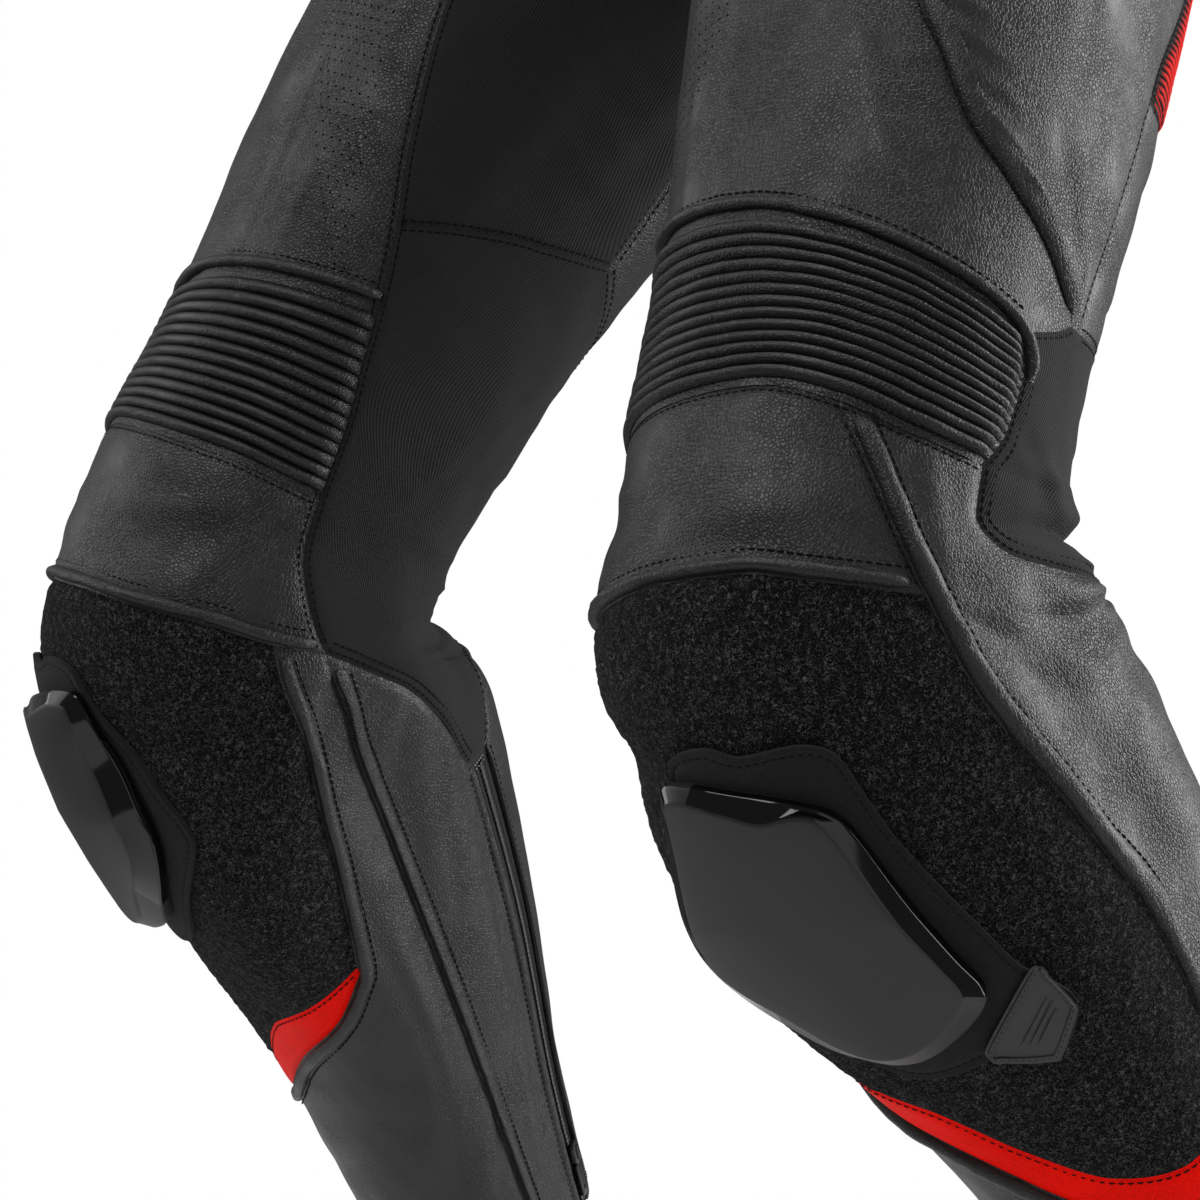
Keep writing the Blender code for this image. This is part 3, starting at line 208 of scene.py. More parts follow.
# Seams that run round the leg: (angle, ring) in order from the inner side.
RIBS_TOP = ((-61.6, 6.65), (-34, 6.7), (0, 6.78), (17, 6.87), (44, 7.02), (79, 7.23))
RIBS_BOTTOM = ((-73, 7.8), (-40, 7.7), (-5, 7.68), (10, 7.69), (33, 7.8), (50, 7.93), (74, 8.08))
KNEE_EDGE = ((-86, 9.08), (-73, 8.94), (-54, 8.75), (-30, 8.64), (-9, 8.58), (9, 8.57), (30, 8.63),
             (60, 8.75))
LOOP_BOTTOM = ((-57, 11.47), (-31, 11.53), (-9, 11.58), (10, 11.76), (35, 11.94), (62, 11.98), (92, 11.86))
TRIM_BOTTOM = ((-57, 11.51), (-39, 11.7), (-9, 11.86), (15, 12.06), (40, 12.17), (65, 12.19), (92.2, 12.14))
STRETCH_SEAM = ((243, 5.9), (270, 6.03), (283, 6.12), (304, 6.28))
THIGH_BACK_EDGE = ((99.5, 7.02), (130, 6.9), (180, 6.6), (220, 6.15), (243, 5.9))
SEAT_EDGE = ((125, 4.35), (180, 4.35), (242.5, 4.35))
SEAT_RIBS_EDGE = ((106.4, 5.65), (150, 5.45), (200, 5.05), (246.4, 4.85))

# Edges given place by place, each (ring, angle).
RIBS_PIPING = ((6.65, -61.6), (6.7, -34), (6.78, 0), (6.87, 17), (7.02, 44), (7.17, 69), (7.25, 77),
               (7.36, 81), (7.5, 82.6))
THIGH_TAIL = ((7.23, 79), (7.13, 88), (7.02, 94.5))
OUTER_TIP = ((7.02, 94.5), (7.02, 99.5))
TRIM_END = ((11.47, -57), (11.51, -57))
SHIN_CORNER = ((8.75, 60), (8.55, 82))
KNEE_HOLLOW = ((8.08, 74), (8.33, 73.5), (8.55, 82), (8.68, 97), (8.76, 112), (9.0, 132), (9.35, 150),
               (9.9, 185), (10.6, 218), (10.95, 231), (10.95, 241.5), (10.3, 248), (9.78, 254), (9.4, 263),
               (9.08, 274))

# The stretches of seam between two junctions: (seam, from, to, steps). The panels on both sides share them.
DOWN_RUNS = {
    "inner beside gusset": (INNER_SEAM, 3.2, 6.28, 8),
    "inner beside stretch": (INNER_SEAM, 6.28, 6.65, 1),
    "inner beside ribs": (INNER_SEAM, 6.65, 7.8, 7),
    "inner beside knee": (INNER_SEAM, 7.8, 9.08, 4),
    "front welt": (FRONT_WELT, 0.5, 7.02, 16),
    "rear beside seat": (REAR_SEAM, 0.5, 4.35, 8),
    "rear beside ribs": (REAR_SEAM, 4.35, 5.65, 5),
    "rear beside back": (REAR_SEAM, 5.65, 7.02, 3),
    "binding beside seat": (BACK_BINDING, 3.3, 4.35, 3),
    "binding beside ribs": (BACK_BINDING, 4.35, 4.85, 2),
    "binding beside back": (BACK_BINDING, 4.85, 5.9, 3),
    "ribs outer end": (RIBS_OUTER_END, 7.23, 8.08, 8),
    "shin welt beside knee": (SHIN_WELT, 7.8, 8.75, 4),
    "shin welt beside loop": (SHIN_WELT, 8.75, 11.86, 8),
    "shin welt beside trim": (SHIN_WELT, 11.86, 12.14, 1),
    "shin welt to hem": (SHIN_WELT, 12.14, 14, 4),
    "loop edge": (LOOP_EDGE, 8.94, 11.47, 8),
    "calf seam, top": (CALF_SEAM, 9.08, 9.8, 3),
    "calf seam, side": (CALF_SEAM, 9.8, 14, 10),
    "calf seam, upper": (CALF_SEAM, 9.8, 11.6, 5),
    "calf seam, middle": (CALF_SEAM, 11.6, 12.8, 9),
    "calf seam, lower": (CALF_SEAM, 12.8, 14, 4),
    "calf back seam": (CALF_BACK_SEAM, 9.35, 14, 13),
    "zip outer edge": (ZIP_OUTER_EDGE, 10.95, 14, 13),
    "zip inner edge": (ZIP_INNER_EDGE, 10.95, 14, 13),
}
ROUND_RUNS = {
    "ribs top": (RIBS_TOP, -61.6, 79, 9),
    "ribs bottom": (RIBS_BOTTOM, -73, 74, 9),
    "knee top": (RIBS_BOTTOM, -73, 33, 9),
    "outer shin top": (RIBS_BOTTOM, 33, 74, 4),
    "knee edge beside calf": (KNEE_EDGE, -86, -73, 1),
    "calf inner top": (KNEE_EDGE, -86, -73, 8),
    "knee edge": (KNEE_EDGE, -73, 60, 8),
    "loop bottom": (LOOP_BOTTOM, -57, 92, 8),
    "trim bottom": (TRIM_BOTTOM, -57, 92.2, 8),
    "stretch seam": (STRETCH_SEAM, 243, 304, 5),
    "thigh back edge": (THIGH_BACK_EDGE, 99.5, 243, 7),
    "seat edge": (SEAT_EDGE, 125, 242.5, 7),
    "seat ribs edge": (SEAT_RIBS_EDGE, 106.4, 246.4, 7),
}
EDGE_RUNS = {
    "thigh tail": (THIGH_TAIL, 0, 2, 1),
    "outer tip": (OUTER_TIP, 0, 1, 5),
    "outer tip, plain": (OUTER_TIP, 0, 1, 1),
    "trim end": (TRIM_END, 0, 1, 1),
    "shin corner": (SHIN_CORNER, 0, 1, 4),
    "hollow beside ribs": (KNEE_HOLLOW, 0, 2, 4),
    "hollow beside shin": (KNEE_HOLLOW, 2, 6, 5),
    "hollow beside calf back": (KNEE_HOLLOW, 6, 9, 4),
    "hollow beside zip": (KNEE_HOLLOW, 9, 10, 1),
    "hollow beside calf": (KNEE_HOLLOW, 10, 14, 4),
}

SLIDERS = {"left": (10.22, 5.0), "right": (9.84, 5.0)}
FLAP_OUTLINE = ((-70, -31), (-74, -14), (-70, -2), (-72, 19), (-71, 33), (-64, 43), (-40, 50), (-26, 54),
                (17, 72), (38, 80), (47, 89), (62, 95), (82, 69), (79, 40), (89, -8), (62, -45), (34, -74),
                (19, -78), (-5, -67), (-57, -41))
PUCK_OUTLINE = ((-60, -36), (-60, -20), (-57, -5), (-54, 8), (-50, 21), (-45, 31), (-35, 38), (-3, 47),
                (26, 55), (40, 59), (49, 54), (62, 33), (72, 10), (72, -9), (61, -30), (19, -59),
                (-37, -48), (-55, -43))
PUCK_FACE = ((-55, -33), (-55, -22), (-51, -9), (-47, 3), (-48, 15), (-46, 25), (-36, 31), (-4, 40),
             (22, 48), (35, 51), (43, 47), (56, 28), (64, 8), (62, -8), (45, -24), (17, -46), (-34, -39),
             (-51, -37))
LABEL_OUTLINE = ((73, 43), (76.5, 45), (79, 65), (77.5, 70), (63, 88), (59, 90), (46, 87), (44, 83))
FLAP_LIFT, FLAP_WALL = 1.7, 2.4
PUCK_LIFT, PUCK_HEIGHT, PUCK_BEVEL = 6.0, 12.8, 6.4
PUCK_FALL, FALL_REACH = 6.0, 55   # how far the end under the knee falls, and how far from the middle it does
LABEL_LIFT, LABEL_WALL = 4.9, 2.0
LABEL_BARS = (((72.9, 56.6), (53.7, 83.3)), ((73.4, 60.5), (55.8, 84.8)), ((73.7, 64.5), (59.6, 83.9)))
LABEL_BAR_WIDTH = 1.7
# Where the puck's bevel is glossy, by the number of the outline's place: its outer side and its inner side.
GLOSS_START, GLOSS_END, GLOSS_INNER = 0.8, 9.3, 14.2

ZIP_SINK = 1.2
RUNNER_ROW = 13.55
RUNNER_SIZE = (9.0, 12.0, 3.6)
BRIDGE_SIZE = (3.0, 9.0, 1.4)
PULL_SIZE = (7.0, 22.0, 1.6)
PULL_AXLE, PULL_HEAD, PULL_HOLE = 1.8, 0.9, (6.0, 1.6)
COIL_PITCH, COIL_WIDTH, COIL_HEIGHT = 1.5, 5.2, 1.4
# Sections of a link: how far across the zip, how thick and how high, as shares.
COIL_SHAPE = ((-0.5, 0.3, 0.25), (-0.42, 0.8, 0.8), (-0.1, 1.0, 1.0), (0.25, 1.0, 0.95), (0.36, 0.6, 0.5))

STRIPS = {
    # name: width, height, shift to the lower side or the front (+) or the other one (-), and its profile
    "piping_ribs": (5.4, 3.5, -3.8, "round"),
    "piping_knee": (5.8, 3.5, -4.0, "round"),
    "piping_loop": (6.6, 3.2, 4.2, "round"),
    "welt_front": (8.4, 3.0, -4.3, "folded behind"),
    "welt_shin": (8.4, 3.2, -4.9, "round"),
    "calf_welt": (6.4, 2.2, 3.7, "folded behind"),
    "zip_lip_inner": (3.6, 1.5, -2.0, "folded ahead"),
    "zip_lip_outer": (3.6, 1.5, 2.0, "folded behind"),
}
FOLDED = ((0.5, 0.0), (0.45, 0.24), (0.32, 0.5), (0.12, 0.74), (-0.12, 0.9), (-0.34, 1.0), (-0.46, 0.95),
          (-0.51, 0.68), (-0.52, 0.34), (-0.49, 0.0))

SNAP_RADIUS, SNAP_HEIGHT = 8.0, 3.0
SNAP_ROW, SNAP_SETBACK = 0.26, 5.5
# Rings of the cap from its foot to its middle: their share of the radius and of the height.
SNAP_SHAPE = ((0.9, 0.0), (1.0, 0.15), (1.0, 0.55), (0.96, 0.85), (0.86, 1.0), (0.74, 0.96), (0.68, 0.78),
              (0.6, 0.74), (0.3, 0.8))
FLY_WIDTH, FLY_OVERLAP, FLY_START, FLY_END, FLY_LIFT = 34.0, 5.0, 0.04, 2.7, 1.5

STITCH_LENGTH, STITCH_PITCH, STITCH_THICK, STITCH_RISE = 3.0, 3.8, 0.85, 0.18
# Rings of a stitch: their share of its length, their thickness and their rise.
STITCH_SHAPE = ((-0.5, 0.7, -0.3), (0.0, 1.1, 0.2), (0.5, 0.7, -0.3))

# The photograph's camera, in metres and degrees.
LEG_BEARING = 48.0
CAMERA_ACROSS, CAMERA_BACK, CAMERA_PLACE = 0.035, 1.671, (0.0, -0.196, -0.620)
CAMERA_LENS = 114.45
FLOOR_RADIUS, FLOOR_BACK, FLOOR_LEVEL = 770, -60, -1025
SURROUNDINGS = 0.16  # how strongly the white surroundings light the garment
LIGHTS = {
    # name: metres ahead, to the right and up from the knee, size, power
    "key": (-1.2, -1.0, 1.5, (1.2, 1.2), 26),
    "fill": (-1.6, 1.0, 0.3, (1.4, 1.8), 6),
    "right rim": (0.3, 1.7, 0.35, (0.8, 1.6), 36),
    "left rim": (0.7, -1.6, 0.6, (0.8, 1.8), 12),
    "top": (0.2, 0.3, 2.1, (0.6, 0.6), 13),
}

RING_TABLE = np.array(list(RINGS.values()), float)


def smooth(x, table):
    """A curve without overshoot through a table of (x, y)."""
    xs, ys = np.array(table, float).T
    step = np.diff(xs)
    slope = np.diff(ys) / step
    bend = np.zeros(len(xs))
    bend[0], bend[-1] = slope[0], slope[-1]
    same = slope[1:] * slope[:-1] > 0
    bend[1:-1][same] = 2 * slope[1:][same] * slope[:-1][same] / (slope[1:] + slope[:-1])[same]
    x = np.clip(np.asarray(x, float), xs[0], xs[-1])
    i = np.clip(np.searchsorted(xs, x, side="right") - 1, 0, len(xs) - 2)
    h = step[i]
    u = (x - xs[i]) / h
    return (ys[i] * (1 + 2 * u) * (1 - u) ** 2 + ys[i + 1] * u * u * (3 - 2 * u)
            + h * (bend[i] * u * (1 - u) ** 2 + bend[i + 1] * u * u * (u - 1)))


def between(a, b, c, d, u):
    """A smooth curve from b to c, with a before them and d behind."""
    square = (2 * a - 5 * b + 4 * c - d) * u ** 2
    cube = (3 * b - a - 3 * c + d) * u ** 3
    return 0.5 * (2 * b + (c - a) * u + square + cube)


def ring_values(row):
    """The ring table's columns at any ring number, on a smooth curve through the rings."""
    last = len(RING_TABLE) - 1
    row = np.clip(np.asarray(row, float), 0, last)
    i = np.minimum(row.astype(int), last - 1)
    b, c = RING_TABLE[i], RING_TABLE[i + 1]
    a = np.where((i > 0)[..., None], RING_TABLE[np.maximum(i - 1, 0)], 2 * b - c)
    d = np.where((i < last - 1)[..., None], RING_TABLE[np.minimum(i + 2, last)], 2 * c - b)
    return between(a, b, c, d, (row - i)[..., None])


def skin(row, angle):
    """Points of the bare skin, without its folds."""
    row, angle = np.broadcast_arrays(np.asarray(row, float), np.asarray(angle, float))
    v = dict(zip(RING_COLUMNS, np.moveaxis(ring_values(row), -1, 0)))
    lean, roll, turn = (np.radians(v[k]) for k in ("lean", "roll", "turn"))
    axis = np.stack([-np.sin(roll), np.sin(lean) * np.cos(roll), np.cos(lean) * np.cos(roll)], -1)
    front = np.stack([np.sin(turn), -np.cos(turn), 0 * turn], -1)
    front = front - (front * axis).sum(-1, keepdims=True) * axis
    front /= np.linalg.norm(front, axis=-1, keepdims=True)
    outward = np.cross(axis, front)
    s, c = np.sin(np.radians(angle)), np.cos(np.radians(angle))
    across = np.where(s > 0, v["outer"], v["inner"]) * np.sign(s) * np.abs(s) ** (2 / SQUARENESS)
    ahead = np.where(c > 0, v["front"], v["behind"]) * np.sign(c) * np.abs(c) ** (2 / SQUARENESS)
    middle = np.stack([v["out"], v["back"], v["up"]], -1)
    return middle + across[..., None] * outward + ahead[..., None] * front


def circle(n):
    """n angles round a circle, in radians."""
    return np.linspace(0, 2 * math.pi, n, endpoint=False)


def unit(v):
    return v / np.maximum(np.linalg.norm(v, axis=-1, keepdims=True), 1e-9)


def tangents(row, angle):
    """How the skin runs down the leg and round it, over twice a nudge of each."""
    down = skin(row + ROW_NUDGE, angle) - skin(row - ROW_NUDGE, angle)
    return down, skin(row, angle + ANGLE_NUDGE) - skin(row, angle - ANGLE_NUDGE)


def facing(row, angle):
    """Outward normals of the skin."""
    return unit(np.cross(*tangents(row, angle)))


def away_from(row, angle, at_row, at_angle, heading):
    """Distances along and across a line on the skin through a place, in millimetres."""
    x = ((angle - at_angle + 180) % 360 - 180) * ARC_LENGTH
    y = (row - at_row) * ROW_LENGTH
    c, s = math.cos(math.radians(heading)), math.sin(math.radians(heading))
    return x * c + y * s, y * c - x * s


def fold_height(row, angle):
    """The large folds, which the solids have too but for the soft ones."""
    total = np.zeros(np.broadcast(row, angle).shape)
    for fold in (*FOLDS.values(), *SOFT_FOLDS.values()):
        f = dict(zip(FOLD_COLUMNS, fold))
        along, across = away_from(row, angle, f["row"], f["angle"], f["heading"])
        total = total + f["height"] * np.exp(-(along / f["length"]) ** 2 - (across / f["width"]) ** 2)
    return total


def crease_height(row, angle):
    """The creases: each a soft ridge with a narrower trough along one side."""
    total = np.zeros(np.broadcast(row, angle).shape)
    for crease in CREASES:
        c = dict(zip(CREASE_COLUMNS, crease))
        along, across = away_from(row, angle, c["row"], c["angle"], c["heading"])
        reach = along / c["length"]
        t = (across + c["bend"] * reach ** 2) / c["width"]
        near = (np.abs(t) < 4) & (np.abs(reach) < 2)
        t, reach = t[near], reach[near]
        ridge = np.exp(-t ** 2) - 0.6 * np.exp(-((t - 1.3) / 0.7) ** 2)
        total[near] += c["height"] * ridge * np.exp(-np.abs(reach) ** 3)
    return total


def rumple(points, seed, shortest, longest, waves=28):
    """Uneven soft dents, the same each time, from waves in all directions; about -1 to 1."""
    draw = np.random.default_rng(seed)
    heading = unit(draw.normal(size=(waves, 3)))
    length = draw.uniform(shortest, longest, waves)
    start = draw.uniform(0, 2 * math.pi, waves)
    total = np.zeros(points.shape[:-1])
    for h, l, s in zip(heading, length, start):
        total += np.sin(points @ h * (2 * math.pi / l) + s)
    return total / math.sqrt(2 * waves) * 1.2


def cloth(places, lift=0.0, creased=True):
    """Points on the cloth's outside at places (..., ring and angle), moved out by lift."""
    row, angle = places[..., 0], places[..., 1]
    height = fold_height(row, angle) + lift
    if creased:
        height = height + crease_height(row, angle)
    return skin(row, angle) + facing(row, angle) * np.asarray(height)[..., None]


def crossing(past, before, point_at):
    """The value at which a line on the skin reaches the middle plane, between one past it and one before."""
    for _ in range(HALVINGS):
        mid = (past + before) / 2
        over = point_at(mid)[..., 0] < 0
        past, before = np.where(over, mid, past), np.where(over, before, mid)
    return before


def centre_angle(row, behind):
    """The angle at which the ring reaches the middle plane, in front or behind."""
    row = np.asarray(row, float)
    past, before = (270.0, 180.0) if behind else (-90.0, 0.0)
    return crossing(np.full(row.shape, past), np.full(row.shape, before), lambda angle: skin(row, angle))


def centre_row(angle):
    """The ring number at which the line at this angle reaches the middle plane, under the crotch."""
    angle = np.asarray(angle, float)
    return crossing(np.full(angle.shape, 2.6), np.full(angle.shape, 5.0), lambda row: skin(row, angle))


def steps_of(points):
    """The length of each step of a line of points."""
    return np.linalg.norm(np.diff(points, axis=0), axis=1)


def far_along(points):
    """The distance of each point of a line from its start."""
    return np.concatenate([[0], np.cumsum(steps_of(points))])


def read_off(line, at, where):
    """The points of a line, known at some distances, at others."""
    return np.stack([np.interp(where, at, column) for column in line.T], -1)


def edge_line(points, start, end, n):
    """Places on a smooth line through listed ones, between two of them."""
    p = np.array(points, float)
    step = np.linalg.norm(np.diff(p, axis=0) * (ROW_LENGTH, ARC_LENGTH), axis=1)
    at = np.concatenate([[0], np.cumsum(step)])
    x = np.linspace(at[start], at[end], n + 1)
    return np.stack([smooth(x, np.stack([at, p[:, k]], -1)) for k in (0, 1)], -1)


def run(name):
    """The places of a run of seam, closely spaced."""
    if name in DOWN_RUNS:
        seam, start, end, n = DOWN_RUNS[name]
        row = np.linspace(start, end, n * FINE + 1)
        return np.stack([row, smooth(row, seam)], -1)
    if name in ROUND_RUNS:
        seam, start, end, n = ROUND_RUNS[name]
        angle = np.linspace(start, end, n * FINE + 1)
        return np.stack([smooth(angle, seam), angle], -1)
    seam, start, end, n = EDGE_RUNS[name]
    return edge_line(seam, start, end, n * FINE)


def chain(*pieces, turn=0):
    """One side of a panel: runs joined end to end, by name or as places; turn adds whole turns."""
    parts = [run(p) if isinstance(p, str) else p for p in pieces]
    return np.concatenate(parts[:1] + [part[1:] for part in parts[1:]]) + (0, 360 * turn)


def side_of(side):
    """The places of a panel's side, which is given as they are, as a run's name or as several names."""
    if isinstance(side, np.ndarray):
        return side
    return chain(side) if isinstance(side, str) else chain(*side)


def centre(start, end, behind, steps):
    """Places down the middle seam, in front or behind."""
    row = np.linspace(start, end, steps * FINE + 1)
    return np.stack([row, centre_angle(row, behind)], -1)


def level(row, start, end, steps):
    """Places round a ring."""
    n = steps * FINE + 1
    return np.stack([np.full(n, float(row)), np.linspace(start, end, n)], -1)


def from_middle(places, first):
    """The same places with the first step drawn over to start on the middle seam."""
    places[:FINE, 1] += (first - places[0, 1]) * np.linspace(1, 0, FINE, endpoint=False)
    return places


def inner_seam(*names, turn=0):
    """The inner seam from the crotch."""
    return from_middle(chain(*names, turn=turn), centre_angle(CROTCH_FRONT, False) + 360 * turn)


def back_binding(*names):
    """The binding behind the gusset."""
    return from_middle(chain(*names), centre_angle(CROTCH_BACK, True))


def even_places(places):
    """The same line on the cloth, cut at even distances."""
    at = far_along(skin(*places.T))
    return read_off(places, at, np.linspace(0, at[-1], max(2, round(at[-1] / LAID_STEP)) + 1))


def cut(seam, start, end, by_angle=False):
    """Places on a seam at even distances, for what is laid along it."""
    x = np.linspace(start, end, 400)
    return even_places(np.stack([smooth(x, seam), x] if by_angle else [x, smooth(x, seam)], -1))


def sampled(side, share):
    """Places at shares of the way along a side."""
    return read_off(side, np.arange(len(side)), np.asarray(share) * (len(side) - 1))


def grid(sides, across, down):
    """Places between four sides that share their corners, at shares across and down."""
    top, bottom, left, right = sides
    t, b = sampled(top, across), sampled(bottom, across)
    l, r = sampled(left, down), sampled(right, down)
    u, v = np.asarray(across)[None, :, None], np.asarray(down)[:, None, None]
    edges = (1 - v) * t[None] + v * b[None] + (1 - u) * l[:, None] + u * r[:, None]
    corners = (1 - u) * (1 - v) * t[0] + u * (1 - v) * t[-1] + (1 - u) * v * b[0] + u * v * b[-1]
    return edges - corners


def step_lengths(a, b):
    """The length of each step of two facing sides, in millimetres, whichever is longer."""
    return np.max([steps_of(skin(*side[::FINE].T)) for side in (a, b)], axis=0)


def stations(lengths, apart=SPACING):
    """Where a side is cut, in steps: about as far apart as said, and closer beside both ends."""
    ends = np.cumsum([0, *lengths])
    total = ends[-1]
    near = [d for d in EDGE_STEPS if d < total / 3]
    inner = [b for b in ends[1:-1] if near[-1] + 1 < b < total - near[-1] - 1]
    at = list(near)
    knots = [near[-1], *inner, total - near[-1]]
    for a, b in zip(knots, knots[1:]):
        n = max(1, round((b - a) / apart))
        at += list(np.linspace(a, b, n + 1)[1:])
    at += [total - d for d in near[-2::-1]]
    return np.interp(at, ends, np.arange(len(ends)))


def stations_of(parts, apart, inside_step):
    """The stations of a side in one or two parts, and the numbers of those that the inside keeps too."""
    steps, keep, start = np.zeros(1), np.zeros(1, int), 0
    for lengths in parts:
        more = stations(lengths, apart)
        few = np.unique([*range(0, len(more), inside_step), len(more) - 1])
        keep = np.concatenate([keep, len(steps) - 1 + few[1:]])
        steps = np.concatenate([steps, start + more[1:]])
        start += len(lengths)
    return steps, keep


def rim_faces(rim, inner):
    """The faces that close a wall at its rim, between points that have a partner inside."""
    following = dict(rim.tolist())
    faces = []
    for start in inner:
        if start in following:
            way = [start, following[start]]
            while way[-1] not in inner:
                way.append(following[way[-1]])
            faces.append((*way[::-1], inner[way[0]], inner[way[-1]]))
    return faces


def cells_of(number):
    """The four-sided cells of a grid of point numbers, seen from outside."""
    return np.stack([number[:-1, :-1], number[1:, :-1], number[1:, 1:], number[:-1, 1:]], -1).reshape(-1, 4)


def numbered(points, start=0):
    """Numbers for a block of points, in its own shape."""
    return start + np.arange(points[..., 0].size).reshape(points.shape[:-1])


def round_faces(number):
    """The four-sided faces between closed rings of point numbers (..., ring, place on the ring)."""
    after = np.roll(number, -1, axis=-1)
    corners = [number[..., :-1, :], after[..., :-1, :], after[..., 1:, :], number[..., 1:, :]]
    return [tuple(f) for f in np.stack(corners, -1).reshape(-1, 4)]


def turned(faces):
    """The same faces seen from the other side."""
    return [tuple(f)[::-1] for f in faces]


def keys_of(places):
    """Places as keys, which are the same for the same place on two patches."""
    return [tuple(k) for k in np.round(places.reshape(-1, 2), 5).tolist()]


def joined(patches):
    """The places and cells of patches that may share edges."""
    flat = np.concatenate([p.reshape(-1, 2) for p in patches])
    _, first, which = np.unique(np.round(flat, 5), axis=0, return_index=True, return_inverse=True)
    which = which.ravel()
    cells, start = [], 0
    for p in patches:
        count = p.shape[0] * p.shape[1]
        cells.append(cells_of(which[start:start + count].reshape(p.shape[:2])))
        start += count
    return flat[first], np.concatenate(cells)


def rim_of(cells):
    """The edges that only one cell has, as two columns."""
    a, b = cells.ravel(), np.roll(cells, -1, axis=1).ravel()
    big = int(cells.max()) + 1
    there = set((b * big + a).tolist())
    keep = np.array([key not in there for key in (a * big + b).tolist()])
    return np.stack([a[keep], b[keep]], -1)


def rim_distance(points, rim):
    """How far each point is from the rim, in millimetres."""
    edge = np.unique(rim)
    tree = KDTree(len(edge))
    for k, at in enumerate(edge):
        tree.insert(points[at], k)
    tree.balance()
    return np.array([tree.find(p)[2] for p in points])


def eased(x):
    x = np.clip(x, 0, 1)
    return x * x * (3 - 2 * x)


def new_piece(name, points, faces, finish, leg="left", replaces=None, uv=None, worn=None, sharp=40,
              body=BODY, which=None, turn_out=False):
    """A piece from points in millimetres as drawn for the left leg, on its body and with its slot.

    Its finish is a material, or several with one number a face. Turned out, its outside is made to face out.
    """
    if leg == "right":
        points, faces = points * (-1, 1, 1), turned(faces)
    if turn_out:
        faces = outward(points, faces)
    mesh = bpy.data.meshes.new(name)
    mesh.from_pydata((points * MM).tolist(), [], [tuple(int(i) for i in f) for f in faces])
    for kind in [finish] if isinstance(finish, str) else finish:
        mesh.materials.append(MATERIALS[kind])
    mesh.polygons.foreach_set("use_smooth", [True] * len(mesh.polygons))
    if which is not None:
        mesh.polygons.foreach_set("material_index", which)
    if uv is not None:
        layer = mesh.uv_layers.new(name="cut")
        corner = np.zeros(len(mesh.loops), np.int32)
        mesh.loops.foreach_get("vertex_index", corner)
        layer.data.foreach_set("uv", (uv[corner] * MM).astype(np.float32).ravel())
    if worn is not None:
        mesh.attributes.new("worn", "FLOAT", "POINT").data.foreach_set("value", worn.astype(np.float32))
    mesh.update()
    mesh.set_sharp_from_angle(angle=math.radians(sharp))
    made = bpy.data.objects.new(name, mesh)
    bpy.context.scene.collection.objects.link(made)
    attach(made, body)
    if replaces:
        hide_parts(replaces)
    return made


def lengths_in(points):
    """For a grid of points, distances from its left side and from its top, for the weave."""
    right = np.linalg.norm(np.diff(points, axis=1), axis=-1)
    down = np.linalg.norm(np.diff(points, axis=0), axis=-1)
    u = np.concatenate([np.zeros((len(points), 1)), np.cumsum(right, axis=1)], axis=1)
    v = np.concatenate([np.zeros((1, points.shape[1])), np.cumsum(down, axis=0)], axis=0)
    return np.stack([u, v], -1)


def outer_area(points, cells):
    """The area of four-sided cells, in square millimetres."""
    a, b, c, d = (points[cells[:, k]] for k in range(4))
    return 0.5 * np.linalg.norm(np.cross(c - a, d - b), axis=1).sum()


def declare_cut(cuts, area):
    """Works out the flat size that the piece was cut to; nothing keeps it."""
    wide = max(c[..., 0].max() for c in cuts) * MM
    long = max(c[..., 1].max() for c in cuts) * MM
    area = min(max(area * MM * MM, LEAST_FILL * wide * long), wide * long)


